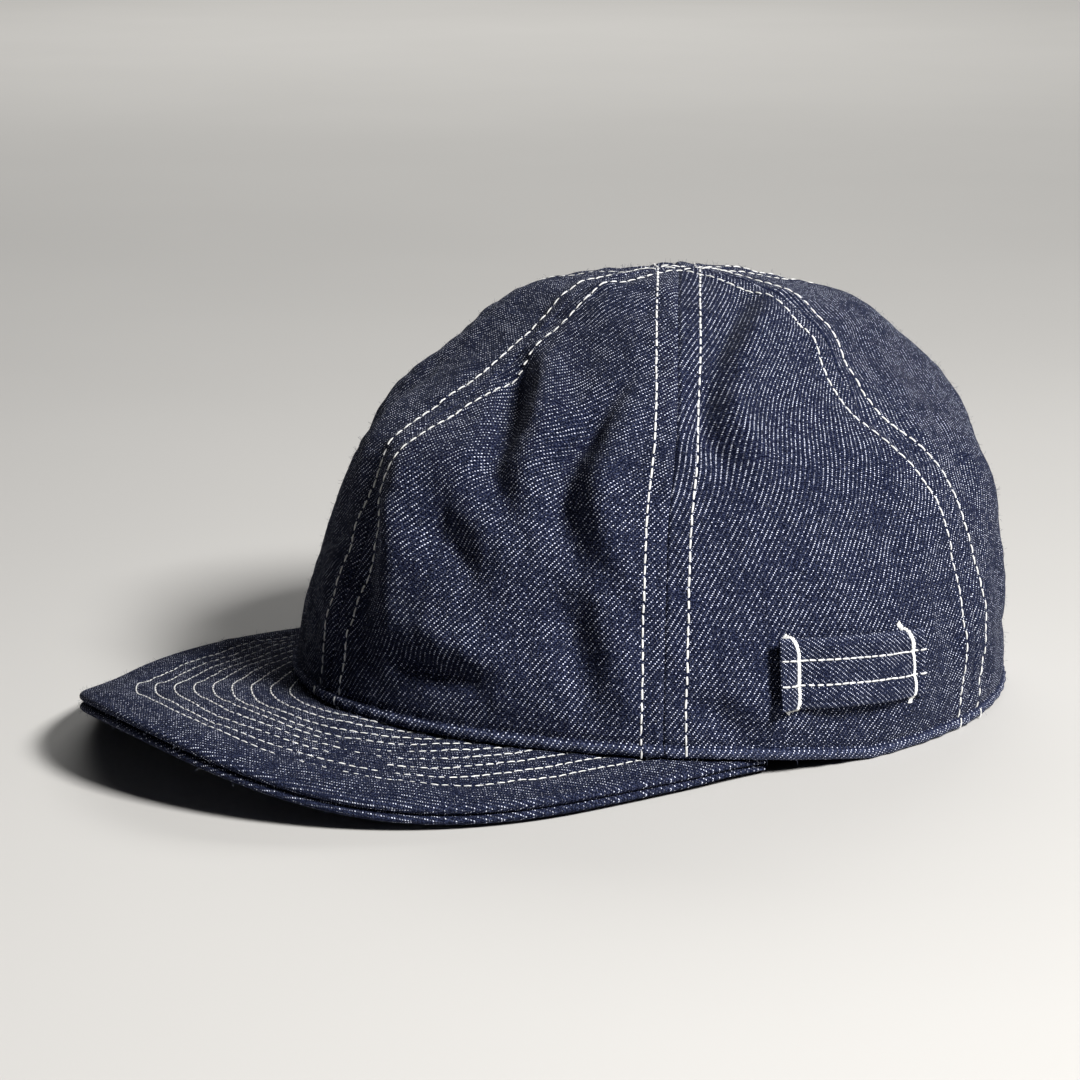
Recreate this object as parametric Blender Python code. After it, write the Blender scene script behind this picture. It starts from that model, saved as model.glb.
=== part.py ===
"""Soft six-panel cloth cap with a long stitched peak, in metres, +Z up, front towards -Y.

The crown is one dome, given by level sections as shares of its named sizes and dented by a table of folds.
Six panels are cut from that dome along its seams. Two covers make the peak, and a cloth loop lies on the
left side panel. The cap stands on the back half of its hem and on the sides of its peak.
"""

from collections import namedtuple

import bmesh
import bpy
import numpy as np

# Crown sizes
CROWN_WIDTH = 0.1716
CROWN_FRONT_REACH = 0.1025
CROWN_BACK_REACH = 0.1005
CROWN_HEIGHT = 0.1148
CROWN_TOP_SETBACK = 0.0061
RIM_FRONT_RISE = 0.0106
RIM_TOUCHES_AT = np.radians(95.0)
RIM_RISE_POWER = 2.6

# Cloth, seams and hem
CLOTH_THICKNESS = 0.0014
SEAM_GAP = 0.0003
SEAM_DIP = 0.0007
SEAM_DIP_WIDTH = 0.0028
TIP_RADIUS = 0.0008
HEM_THICKNESS = 0.0026
HEM_HEIGHT = 0.0100
HEM_ROLL_HEIGHT = 0.0038
HEM_ROLL_PROUD = 0.0006

# Folds of the crown
FOLD_WIDTH = 0.0100
FOLD_DEPTH = 0.0040

# Peak sizes
PEAK_LENGTH = 0.0615
PEAK_SIDE_INSET = 0.0018
PEAK_SIDE_LENGTH = 0.0540
PEAK_SIDE_TAPER = 0.0022
PEAK_END_TURN = np.radians(78.0)
PEAK_TUCK = 0.0040
PEAK_TIP_LIFT = 0.0147
PEAK_SIDE_LIFT = 0.0007
PEAK_ARCH_SPAN_SHARE = 0.88
PEAK_ARCH_OFFSET_SHARE = 0.095
PEAK_ARCH_POWER = 1.7
PEAK_TOP_THICKNESS = 0.0026
PEAK_UNDER_THICKNESS = 0.0024
PEAK_END_THINNING = 0.42
PEAK_LIP = 0.0100
PEAK_LIP_CREST = 0.0008
PEAK_EDGE_ROLL = 0.0018
PEAK_EDGE_BLUNTNESS = 0.08
PEAK_SEAT_SHARE = 0.40
PIECE_GAP = 0.0003

# Loop sizes
LOOP_LENGTH = 0.0428
LOOP_WIDTH = 0.0172
LOOP_THICKNESS = 0.0018
LOOP_STAND_OFF = 0.0024
LOOP_MIDDLE_TURN = np.radians(90.3)
LOOP_HEIGHT = 0.0163
LOOP_TILT = 0.0030

# Facets
PANEL_COLUMNS = 14
PANEL_ROWS = 13
PEAK_COLUMNS = 30
PEAK_INNER_ROWS = 6
PEAK_OUTLINE_STEPS = 60
LOOP_COLUMNS = 16
LOOP_ROWS = 4
FOLD_STEPS = 6
SHARP_EDGE_ANGLE = np.radians(50.0)

# The four kinds of seam, by how far round from the front each one meets the rim
SEAM_TURNS = np.radians((0.0, 63.5, 119.0, 180.0))
SEAM_NAMES = ("front", "side_front", "side_back", "back")

# Level sections from rim to top: height and reach along each seam, as shares of the rim's own
Section = namedtuple("Section", ("up",) + SEAM_NAMES)
CROWN_SECTIONS = (
    Section(0.00, 1.00, 1.00, 1.00, 1.00),
    Section(0.10, 0.98, 1.00, 1.02, 0.97),
    Section(0.22, 0.96, 0.97, 1.02, 0.94),
    Section(0.36, 0.91, 0.92, 0.99, 0.93),
    Section(0.50, 0.86, 0.87, 0.94, 0.93),
    Section(0.62, 0.80, 0.82, 0.84, 0.92),
    Section(0.72, 0.64, 0.77, 0.70, 0.86),
    Section(0.81, 0.49, 0.66, 0.59, 0.73),
    Section(0.89, 0.37, 0.55, 0.51, 0.58),
    Section(0.955, 0.30, 0.39, 0.36, 0.38),
    Section(0.99, 0.22, 0.19, 0.18, 0.16),
    Section(1.00, 0.00, 0.00, 0.00, 0.00),
)

# Folds: where each starts and ends, in degrees round from the front and as a share of the way up,
# with its width and depth as shares of FOLD_WIDTH and FOLD_DEPTH; a negative depth swells outwards
Fold = namedtuple("Fold", "turn up turn_end up_end width depth")
CROWN_FOLDS = (
    Fold(8, 0.78, 33, 0.57, 0.50, 0.45),
    Fold(18, 0.80, 39, 0.55, 0.50, -0.40),
    Fold(42, 0.80, 40, 0.66, 0.55, 0.50),
    Fold(41, 0.62, 47, 0.42, 0.55, 0.65),
    Fold(54, 0.78, 51, 0.62, 0.50, -0.40),
    Fold(51, 0.58, 52, 0.42, 0.50, -0.40),
    Fold(5, 0.60, 16, 0.22, 0.70, -0.60),
    Fold(18, 0.19, 32, 0.17, 0.45, 0.50),
    Fold(20, 0.27, 34, 0.23, 0.70, -0.40),
    Fold(50, 0.34, 53, 0.12, 0.60, 0.55),
    Fold(57, 0.33, 58, 0.14, 0.50, -0.35),
    Fold(40, 0.29, 47, 0.25, 1.00, 0.40),
    Fold(84, 0.93, 72, 0.75, 0.50, 0.50),
    Fold(94, 0.92, 81, 0.72, 0.60, -0.40),
    Fold(68, 0.16, 75, 0.09, 0.40, 0.25),
    Fold(74, 0.19, 79, 0.12, 0.50, -0.25),
    Fold(92, 0.48, 100, 0.51, 1.20, 0.35),
    Fold(110, 0.34, 112, 0.20, 0.50, 0.25),
    Fold(111, 0.75, 118, 0.64, 0.70, 0.40),
    Fold(150, 0.62, 158, 0.40, 1.10, 0.40),
    Fold(-24, 0.74, -34, 0.52, 0.80, 0.45),
    Fold(-46, 0.60, -50, 0.38, 0.90, 0.45),
    Fold(-80, 0.82, -76, 0.60, 0.90, 0.40),
    Fold(-30, 0.22, -44, 0.18, 0.90, 0.35),
    Fold(-98, 0.45, -104, 0.30, 1.10, 0.35),
    Fold(-150, 0.66, -146, 0.44, 1.10, 0.40),
)

# The loop's lift off the crown along its length, as shares of LOOP_LENGTH and LOOP_STAND_OFF
LoopStation = namedtuple("LoopStation", "along lift")
LOOP_STATIONS = (
    LoopStation(0.00, 1.00),
    LoopStation(0.08, 0.18),
    LoopStation(0.30, 0.70),
    LoopStation(0.60, 0.75),
    LoopStation(0.93, 0.18),
    LoopStation(1.00, 0.45),
)

# The hem's outline above its bottom edge: height in shares of HEM_ROLL_HEIGHT, swell of HEM_ROLL_PROUD
HemRow = namedtuple("HemRow", "up swell")
HEM_ROLL = (
    HemRow(0.00, -0.30),
    HemRow(0.18, 0.75),
    HemRow(0.52, 1.00),
    HemRow(0.86, 0.55),
    HemRow(1.05, -0.50),
    HemRow(1.50, 0.00),
)

# Rows of the peak inwards from its edge: distance in shares of PEAK_LIP, at most a share of the local width
PeakRow = namedtuple("PeakRow", "away most")
PEAK_ROWS = (
    PeakRow(0.00, 0.00),
    PeakRow(0.06, 0.08),
    PeakRow(0.18, 0.22),
    PeakRow(0.50, 0.35),
    PeakRow(1.00, 0.50),
)

# Where the origin lies, at the middle of the whole cap's box
BOX_CENTRE_X = (LOOP_STAND_OFF + LOOP_THICKNESS) / 2
BOX_CENTRE_Y = (CROWN_BACK_REACH - CROWN_FRONT_REACH - PEAK_LENGTH) / 2


def clear_scene():
    """Removes every object that the file opened with."""
    for old in list(bpy.data.objects):
        bpy.data.objects.remove(old, do_unlink=True)


def rim_oval(turn):
    """The outer oval of the rim, as x and y."""
    reach = np.where(np.cos(turn) > 0, CROWN_FRONT_REACH, CROWN_BACK_REACH)
    return np.stack([CROWN_WIDTH / 2 * np.sin(turn), -reach * np.cos(turn)], -1)


def rim_height(turn):
    """The height of the rim's bottom edge, which rises over the peak and is flat behind."""
    share = np.minimum(np.abs(turn) / RIM_TOUCHES_AT, 1.0)
    return RIM_FRONT_RISE * (1 - share**RIM_RISE_POWER)


def cosine_waves(turn):
    return np.stack([np.cos(k * turn) for k in range(4)], -1)


def sine_waves(turn):
    return np.stack([np.sin(k * turn) for k in (1, 2)], -1)


def section_waves():
    """Each section's outline as a few waves round the crown, through its four seam points."""
    table = np.array(CROWN_SECTIONS)
    top = np.array([0.0, CROWN_TOP_SETBACK])
    points = top + table[:, 1:, None] * (rim_oval(SEAM_TURNS) - top)
    across = np.linalg.solve(sine_waves(SEAM_TURNS[1:3]), points[:, 1:3, 0].T).T
    along = np.linalg.solve(cosine_waves(SEAM_TURNS), points[:, :, 1].T).T
    return across, along, table[:, :1]


ACROSS_WAVES, ALONG_WAVES, SECTION_UP = section_waves()


def between_sections(rows, climb, level_end=False):
    """A smooth curve through the sections' rows, where climb runs from 0 at the rim to 1 at the top."""
    last = rows[-2] if level_end else 2 * rows[-1] - rows[-2]
    padded = np.vstack([2 * rows[0] - rows[1], rows, last])
    place = np.clip(climb, 0, 1) * (len(rows) - 1)
    first = np.minimum(place.astype(int), len(rows) - 2)
    share = (place - first)[..., None]
    before, start, end, after = (padded[first + k] for k in range(4))
    slope = (end - before) * share
    bend = (2 * before - 5 * start + 4 * end - after) * share**2
    twist = (3 * start - before - 3 * end + after) * share**3
    return (2 * start + slope + bend + twist) / 2


def crown_dome(turn, climb):
    """The crown's smooth outer surface, before folds and seams."""
    x = (between_sections(ACROSS_WAVES, climb) * sine_waves(turn)).sum(-1)
    y = (between_sections(ALONG_WAVES, climb) * cosine_waves(turn)).sum(-1)
    up = between_sections(SECTION_UP, climb, level_end=True)[..., 0]
    rim = rim_height(turn)
    return np.stack([x, y, rim + (CROWN_HEIGHT - rim) * up], -1)


def crown_steps(turn, climb):
    """How the dome's surface moves for a step round it and for a step up it."""
    step = 1e-4
    up_step = np.where(climb > 0.5, -step, step)
    here = crown_dome(turn, climb)
    around = (crown_dome(turn + step, climb) - crown_dome(turn - step, climb)) / (2 * step)
    upward = (crown_dome(turn, climb + up_step) - here) / up_step[..., None]
    return around, upward


def crown_normal(turn, climb):
    """Outward normals of the dome, turned level in the hem so that its bottom face is flat."""
    around, upward = crown_steps(turn, climb)
    normal = np.cross(around, upward)
    normal /= np.linalg.norm(normal, axis=-1, keepdims=True)
    above_rim = climb * np.linalg.norm(upward, axis=-1)
    normal[..., 2] *= np.clip(above_rim / HEM_HEIGHT, 0, 1)
    return normal / np.linalg.norm(normal, axis=-1, keepdims=True)


def climb_at(up):
    """The climb that reaches a share of the way up."""
    return np.interp(up, SECTION_UP[:, 0], np.linspace(0, 1, len(SECTION_UP)))


def distance_to_line(points, line):
    """The distance from each point to a line of short straight stretches."""
    nearest = np.full(points.shape[:-1], np.inf)
    for start, end in zip(line[:-1], line[1:]):
        stretch = end - start
        share = np.clip(((points - start) @ stretch) / (stretch @ stretch), 0, 1)
        gap = points - (start + share[..., None] * stretch)
        nearest = np.minimum(nearest, np.linalg.norm(gap, axis=-1))
    return nearest


def fold_depth(points):
    """How far the folds press each point of the dome inwards."""
    depth = np.zeros(points.shape[:-1])
    for fold in CROWN_FOLDS:
        turns = np.radians(np.linspace(fold.turn, fold.turn_end, FOLD_STEPS))
        climbs = climb_at(np.linspace(fold.up, fold.up_end, FOLD_STEPS))
        away = distance_to_line(points, crown_dome(turns, climbs)) / (fold.width * FOLD_WIDTH)
        depth += fold.depth * FOLD_DEPTH * np.exp(-(away**2))
    return depth


def seam_depth(turn, climb):
    """How far the cloth is drawn in at the nearest seam."""
    seams = np.concatenate([-SEAM_TURNS[1:], SEAM_TURNS])
    away = np.abs(turn[..., None] - seams).min(-1)
    pace = np.linalg.norm(crown_steps(turn, climb)[0], axis=-1)
    return SEAM_DIP * np.exp(-((away * pace / SEAM_DIP_WIDTH) ** 2))


def hem_swell(turn, climb):
    """The rolled bottom edge, which stands proud of the cloth above it."""
    above_rim = climb * np.linalg.norm(crown_steps(turn, climb)[1], axis=-1)
    ups = [row.up * HEM_ROLL_HEIGHT for row in HEM_ROLL]
    swells = [row.swell * HEM_ROLL_PROUD for row in HEM_ROLL]
    return np.interp(above_rim, ups, swells)


def crown_skin(turn, climb, lift=0.0):
    """The crown's outer surface with its folds, seams and hem, raised by lift along its normal."""
    dome = crown_dome(turn, climb)
    height = hem_swell(turn, climb) - fold_depth(dome) - seam_depth(turn, climb) + lift
    return dome + height[..., None] * crown_normal(turn, climb)


def panel_climbs(turns):
    """The rows of a panel: the hem's own heights first, then even steps up to its tip."""
    rim = np.zeros_like(turns)
    pace = np.linalg.norm(crown_steps(turns, rim)[1], axis=-1)
    hem = [row.up * HEM_ROLL_HEIGHT / pace for row in HEM_ROLL]
    hem.append(HEM_HEIGHT / pace)
    start = (HEM_HEIGHT + CLOTH_THICKNESS) / pace
    tip = 1 - TIP_RADIUS / np.linalg.norm(crown_steps(turns, rim + 1)[1], axis=-1)
    steps = [start + (tip - start) * share for share in np.linspace(0, 1, PANEL_ROWS + 1)]
    return np.array(hem + steps)


def panel_turns(seam, next_seam, climbs):
    """The columns of a panel between two seams, half a seam gap clear of each."""
    edge = SEAM_DIP_WIDTH / (CROWN_WIDTH / 2)
    inner = np.linspace(edge, 1 - edge, PANEL_COLUMNS + 1)
    shares = np.concatenate([[0.0], inner, [1.0]])
    inward = np.sign(next_seam - seam)
    bounds = []
    for turn, column, side in ((seam, 0, inward), (next_seam, -1, -inward)):
        line = np.full(len(climbs), turn)
        pace = np.linalg.norm(crown_steps(line, climbs[:, column])[0], axis=-1)
        bounds.append(line + side * SEAM_GAP / 2 / pace)
    return bounds[0][:, None] + shares * (bounds[1] - bounds[0])[:, None]


def make_panel(name, seam, next_seam, colour):
    """One crown panel: a cloth wall with a thicker turned hem."""
    columns = PANEL_COLUMNS + 3
    climbs = panel_climbs(np.linspace(seam, next_seam, columns))
    turns = panel_turns(seam, next_seam, climbs)
    outer = crown_skin(turns, climbs)
    hem_rows = len(HEM_ROLL) + 1
    wall = np.where(np.arange(len(climbs)) < hem_rows, HEM_THICKNESS, CLOTH_THICKNESS)
    dome = crown_dome(turns, climbs)
    sunk = wall[:, None] + fold_depth(dome) + seam_depth(turns, climbs)
    inner = dome - sunk[..., None] * crown_normal(turns, climbs)
    return make_shell(name, outer, inner, colour)


def make_shell(name, outer, inner, colour):
    """A closed solid between two grids of points, whose squares are halved along the same diagonals."""
    rows, columns = outer.shape[:2]
    points = np.concatenate([outer.reshape(-1, 3), inner.reshape(-1, 3)])
    points -= np.array([BOX_CENTRE_X, BOX_CENTRE_Y, 0.0])
    grid = np.arange(rows * columns).reshape(rows, columns)
    back = grid + rows * columns
    faces = []
    for i in range(rows - 1):
        for j in range(columns - 1):
            near, far, across, beside = (i, j), (i + 1, j + 1), (i, j + 1), (i + 1, j)
            for half in ((near, across, far), (near, far, beside)):
                faces.append([grid[place] for place in half])
                faces.append([back[place] for place in reversed(half)])
    edge = [*grid[0, :-1], *grid[:-1, -1], *grid[-1, :0:-1], *grid[:0:-1, 0]]
    for here, following in zip(edge, edge[1:] + edge[:1]):
        faces.append([following, here, here + rows * columns, following + rows * columns])
    mesh = bpy.data.meshes.new(name)
    mesh.from_pydata(points.tolist(), [], [[int(k) for k in face] for face in faces])
    point_outwards(mesh)
    mesh.materials.append(cloth_material(name, colour))
    shell = bpy.data.objects.new(name, mesh)
    bpy.context.scene.collection.objects.link(shell)
    return shell


def point_outwards(mesh):
    """Turns every face outwards and shades the mesh smooth, with sharp edges kept."""
    shape = bmesh.new()
    shape.from_mesh(mesh)
    bmesh.ops.recalc_face_normals(shape, faces=shape.faces)
    shape.to_mesh(mesh)
    shape.free()
    mesh.shade_smooth()
    mesh.set_sharp_from_angle(angle=SHARP_EDGE_ANGLE)


def cloth_material(name, colour):
    """Dark blue twill, dull and without metal."""
    material = bpy.data.materials.new(name + "_cloth")
    material.use_nodes = True
    shader = material.node_tree.nodes["Principled BSDF"]
    shader.inputs["Base Color"].default_value = (*colour, 1.0)
    shader.inputs["Roughness"].default_value = 0.92
    shader.inputs["Metallic"].default_value = 0.0
    return material


def peak_outline(share):
    """The peak's edge from its left end (-1) over the tip (0) to its right end (1), as x and y."""
    half = CROWN_WIDTH / 2 - PEAK_SIDE_INSET
    end = CROWN_FRONT_REACH * np.cos(PEAK_END_TURN)
    widest = end + PEAK_SIDE_LENGTH
    angle = np.linspace(0, np.pi / 2, PEAK_OUTLINE_STEPS)
    front_x = half * np.sin(angle)
    front_y = widest + (CROWN_FRONT_REACH + PEAK_LENGTH - widest) * np.cos(angle)
    side = np.linspace(0, 1, PEAK_OUTLINE_STEPS)[1:]
    side_x = half - PEAK_SIDE_TAPER * side**2
    line = np.stack([np.append(front_x, side_x), np.append(front_y, widest - PEAK_SIDE_LENGTH * side)], -1)
    run = np.concatenate([[0.0], np.cumsum(np.linalg.norm(np.diff(line, axis=0), axis=1))])
    x = np.sign(share) * np.interp(np.abs(share), run / run[-1], line[:, 0])
    return np.stack([x, -np.interp(np.abs(share), run / run[-1], line[:, 1])], -1)


def peak_top_surface(share):
    """The peak's upper surface as a grid of points, with each point's distance from the edge."""
    turn = share * PEAK_END_TURN
    start = rim_oval(turn)
    inward = start / np.linalg.norm(start, axis=-1, keepdims=True)
    start = start - PEAK_TUCK * inward
    end = peak_outline(share)
    width = np.linalg.norm(end - start, axis=-1)
    under_hem = PEAK_TUCK + HEM_ROLL_PROUD + PIECE_GAP
    rows = [np.minimum(row.away * PEAK_LIP, row.most * width) for row in PEAK_ROWS]
    seat = width - np.minimum(under_hem, PEAK_SEAT_SHARE * width)
    inner = np.linspace(0, 1, PEAK_INNER_ROWS)[1:, None]
    from_edge = np.concatenate([rows, rows[-1] + inner * (seat - rows[-1]), [width]])
    reach = 1 - from_edge / width
    plan = start + reach[..., None] * (end - start)
    climb = np.clip((reach * width - under_hem) / np.maximum(width - under_hem, under_hem), 0, 1)
    thickness = PEAK_TOP_THICKNESS + PEAK_UNDER_THICKNESS
    low = rim_height(turn) - PIECE_GAP
    high = peak_lift(end[:, 0]) + thickness * peak_thinning(share) + PIECE_GAP
    crest = PEAK_LIP_CREST * np.exp(-(((from_edge - PEAK_LIP) / (PEAK_LIP / 2)) ** 2)) * climb
    height = low + (high - low) * climb + crest
    return np.concatenate([plan, height[..., None]], -1), from_edge


def peak_lift(x):
    """How high the peak's lower edge is lifted: an arch, highest a little left of the middle."""
    half = CROWN_WIDTH / 2 - PEAK_SIDE_INSET
    across = np.abs(x / half - PEAK_ARCH_OFFSET_SHARE) / PEAK_ARCH_SPAN_SHARE
    arch = (1 - np.minimum(across, 1) ** 2) ** PEAK_ARCH_POWER
    return PEAK_SIDE_LIFT + (PEAK_TIP_LIFT - PEAK_SIDE_LIFT) * arch


def peak_thinning(share):
    """The covers' thickness along the peak, thinner towards its two ends."""
    return 1 - PEAK_END_THINNING * np.abs(share) ** 4


def make_cover(name, above, thickness, colour):
    """One cover of the peak: a curved sheet with a rolled edge, which lies below what is above it."""
    share = np.linspace(-1, 1, PEAK_COLUMNS + 1)
    surface, from_edge = peak_top_surface(share)
    thin = peak_thinning(share)
    middle = surface.copy()
    middle[..., 2] -= (above + thickness / 2) * thin + (PIECE_GAP if above else 0.0)
    roll = np.sqrt(np.clip(from_edge / PEAK_EDGE_ROLL, PEAK_EDGE_BLUNTNESS, 1))
    half = thickness / 2 * thin * roll
    upper, lower = middle.copy(), middle.copy()
    upper[..., 2] += half
    lower[..., 2] -= half
    return make_shell(name, upper, lower, colour)


def make_loop(colour):
    """The cloth loop: a strip held to the crown near both ends and bowed off it between them."""
    middle = np.array([LOOP_MIDDLE_TURN])
    climb = climb_at(np.array([(LOOP_HEIGHT + LOOP_WIDTH / 2) / CROWN_HEIGHT]))
    pace = np.linalg.norm(crown_steps(middle, climb)[0], axis=-1)
    along = np.linspace(0, 1, LOOP_COLUMNS + 1)
    turns = LOOP_MIDDLE_TURN + (along - 0.5) * LOOP_LENGTH / pace
    turn, height = np.meshgrid(turns, LOOP_HEIGHT + np.linspace(0, LOOP_WIDTH, LOOP_ROWS + 1))
    height += (0.5 - along) * LOOP_TILT
    rim = rim_height(turn)
    climbs = climb_at((height - rim) / (CROWN_HEIGHT - rim))
    stations = np.array(LOOP_STATIONS)
    lift = LOOP_STAND_OFF * np.interp(along, stations[:, 0], stations[:, 1]) + np.zeros_like(turn)
    inner = crown_skin(turn, climbs, lift)
    outer = crown_skin(turn, climbs, lift + LOOP_THICKNESS)
    return make_shell("pencil_loop", outer, inner, colour)


def make_crown():
    """The six panels, each from one seam to the next, on the left (+X) and on the right."""
    denim = {"front": (0.067, 0.073, 0.113), "side": (0.074, 0.083, 0.131), "back": (0.060, 0.066, 0.104)}
    for kind, seam, next_seam in zip(denim, SEAM_TURNS[:-1], SEAM_TURNS[1:]):
        make_panel(kind + "_panel_left", seam, next_seam, denim[kind])
        make_panel(kind + "_panel_right", -seam, -next_seam, denim[kind])


def make_peak():
    """The peak's two covers, one over the other."""
    make_cover("peak_top", 0.0, PEAK_TOP_THICKNESS, (0.069, 0.075, 0.100))
    make_cover("peak_under", PEAK_TOP_THICKNESS, PEAK_UNDER_THICKNESS, (0.045, 0.048, 0.068))


def main():
    clear_scene()
    make_crown()
    make_peak()
    make_loop((0.080, 0.089, 0.138))


main()
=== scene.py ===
"""A soft six-panel denim cap with a long stitched peak: its looks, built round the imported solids."""

from collections import namedtuple

import bmesh
import bpy
import numpy as np
from bpy.props import FloatProperty, FloatVectorProperty, IntProperty, PointerProperty
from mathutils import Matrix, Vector
from mathutils.bvhtree import BVHTree


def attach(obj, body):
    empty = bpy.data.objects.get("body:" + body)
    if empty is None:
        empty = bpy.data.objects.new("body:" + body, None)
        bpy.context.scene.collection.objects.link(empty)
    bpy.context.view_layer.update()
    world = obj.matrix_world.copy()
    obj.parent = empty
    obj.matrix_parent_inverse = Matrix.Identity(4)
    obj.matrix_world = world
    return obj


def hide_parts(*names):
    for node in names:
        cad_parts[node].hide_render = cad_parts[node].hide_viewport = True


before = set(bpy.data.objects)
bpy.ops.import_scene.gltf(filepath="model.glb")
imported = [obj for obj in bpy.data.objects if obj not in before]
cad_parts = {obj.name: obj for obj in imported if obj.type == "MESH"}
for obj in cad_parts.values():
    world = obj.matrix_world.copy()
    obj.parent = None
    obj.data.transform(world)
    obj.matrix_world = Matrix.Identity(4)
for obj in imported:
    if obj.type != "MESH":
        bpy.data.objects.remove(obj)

bl_info = {
    "name": "Denim cap",
    "version": (1, 0, 0),
    "blender": (4, 5, 0),
    "location": "View3D > Sidebar > Cap",
    "description": "Builds a soft denim cap with folded panels, a quilted peak and white topstitching",
    "category": "Add Mesh",
}


# Settings that a user may change

def length(name, description, default):
    """A length in metres as a setting."""
    return FloatProperty(name=name, description=description, default=default, unit="LENGTH", precision=5)


def share(name, description, default):
    """A plain share or ratio as a setting."""
    return FloatProperty(name=name, description=description, default=default, precision=4)


def colour(name, description, default):
    """A linear colour as a setting."""
    return FloatVectorProperty(name=name, description=description, default=default, subtype="COLOR", size=3)


def degrees(name, description, default):
    """An angle as a setting, given here in degrees."""
    return FloatProperty(name=name, description=description, default=np.radians(default), subtype="ANGLE")


class CrownSizes(bpy.types.PropertyGroup):
    """Sizes of the crown, its hem and its seams."""

    width: length("Width", "Width of the rim outside", 0.1716)
    front_reach: length("Front reach", "Middle of the rim to its front", 0.1025)
    back_reach: length("Back reach", "Middle of the rim to its back", 0.1005)
    height: length("Height", "Top of the crown above the table", 0.1148)
    top_setback: length("Top setback", "How far the top lies behind the rim's middle", 0.0061)
    rim_rise: length("Rim rise", "Height of the rim at the front", 0.0106)
    rim_touches: degrees("Rim touches", "How far round the rim comes down to the table", 95.0)
    rim_power: share("Rim curve", "How sharply the rim rises towards the front", 2.6)
    cloth: length("Cloth", "Thickness of one layer of denim", 0.0014)
    hem_cloth: length("Hem cloth", "Thickness of the turned hem", 0.0026)
    hem_height: length("Hem height", "Height of the thicker wall at the rim", 0.0100)
    hem_roll: length("Hem roll", "Height of the rolled edge", 0.0031)
    hem_proud: length("Hem proud", "How far the rolled edge stands out", 0.0010)
    seam_groove: length("Seam groove", "Depth of the groove in a seam", 0.0005)
    seam_groove_width: length("Groove width", "Half width of that groove", 0.0006)
    seam_raise: length("Seam raise", "How far the doubled seam band stands out", 0.0003)
    row_offset: length("Row offset", "Distance of a stitch row from its seam", 0.0056)
    fold_width: length("Fold width", "Unit of the folds' half widths", 0.0100)
    fold_depth: length("Fold depth", "Unit of the folds' depths", 0.0040)
    pucker: length("Pucker", "Depth of the small puckers along the seams", 0.00022)
    ripple: length("Ripple", "Depth of the cloth's soft unevenness", 0.0005)


class PeakSizes(bpy.types.PropertyGroup):
    """Sizes of the peak."""

    length: length("Length", "How far the peak reaches before the rim", 0.0615)
    side_inset: length("Side inset", "How far its sides lie inside the rim's width", 0.0018)
    side_length: length("Side length", "Length of its nearly straight sides", 0.0540)
    side_taper: length("Side taper", "How far the sides draw in at their ends", 0.0022)
    end_turn: degrees("End turn", "How far round the rim the peak reaches", 78.0)
    tuck: length("Tuck", "How far the peak reaches under the hem", 0.0040)
    tip_lift: length("Tip lift", "Height of the peak's arch above the table", 0.0147)
    side_lift: length("Side lift", "Height of the peak's sides above the table", 0.0007)
    arch_span: share("Arch span", "Width of the arch as a share of the peak's", 0.88)
    arch_offset: share("Arch offset", "How far the arch lies to one side, as a share", 0.095)
    arch_power: share("Arch power", "How steep the arch's shoulders are", 1.7)
    top_cover: length("Upper cover", "Thickness of the upper cover", 0.0026)
    under_cover: length("Lower cover", "Thickness of the lower cover", 0.0024)
    end_thinning: share("End thinning", "How much thinner the covers are at their ends", 0.42)
    lip: length("Lip", "Distance of the raised lip from the edge", 0.0100)
    lip_crest: length("Lip crest", "Height of that lip", 0.0008)
    edge_roll: length("Edge roll", "Radius of the covers' rolled edges", 0.0018)
    gap: length("Gap", "Gap between neighbouring pieces", 0.0003)
    first_row: length("First row", "Distance of the outermost stitch row from the edge", 0.0098)
    row_step: length("Row step", "Distance between stitch rows", 0.0049)
    row_draw: length("Row draw", "How much further from the edge the rows lie at the tip", 0.0045)
    rows: IntProperty(name="Rows", description="Number of stitch rows", default=9, min=0)
    quilt: length("Quilt", "Depth of the channel under each stitch row", 0.0004)
    buried: length("Buried", "How deep the worn stretch of the rows sinks into the nap", 0.00018)


class LoopSizes(bpy.types.PropertyGroup):
    """Sizes of the pencil loop."""

    length: length("Length", "Length of the strip", 0.0455)
    width: length("Width", "Width of the strip", 0.0172)
    thickness: length("Thickness", "Thickness of the folded strip", 0.0018)
    stand_off: length("Stand off", "Unit of its lift off the crown", 0.0024)
    turn: degrees("Place", "How far round the crown its middle lies", 90.6)
    height: length("Height", "Its lower edge above the table", 0.0163)
    tilt: length("Tilt", "How much lower its rear end lies", -0.0030)


class ThreadSizes(bpy.types.PropertyGroup):
    """Sizes of the stitches."""

    seam_pitch: length("Seam pitch", "Length of a stitch in the crown", 0.0030)
    peak_pitch: length("Peak pitch", "Length of a stitch in the peak", 0.0027)
    loop_pitch: length("Loop pitch", "Length of a stitch in the loop", 0.0022)
    thickness: length("Thickness", "Thickness of the thread", 0.00058)
    tack_width: length("Tack width", "Width of a bar tack", 0.00135)
    tack_pitch: length("Tack pitch", "Step between the threads of a bar tack", 0.00036)
    fuzz_density: FloatProperty(name="Fuzz density", description="Loose fibres on a square metre", default=1.1e5)
    fuzz_length: length("Fuzz length", "Length of a loose fibre", 0.0013)
    fuzz_thickness: length("Fuzz thickness", "Thickness of a loose fibre", 0.00005)


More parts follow.
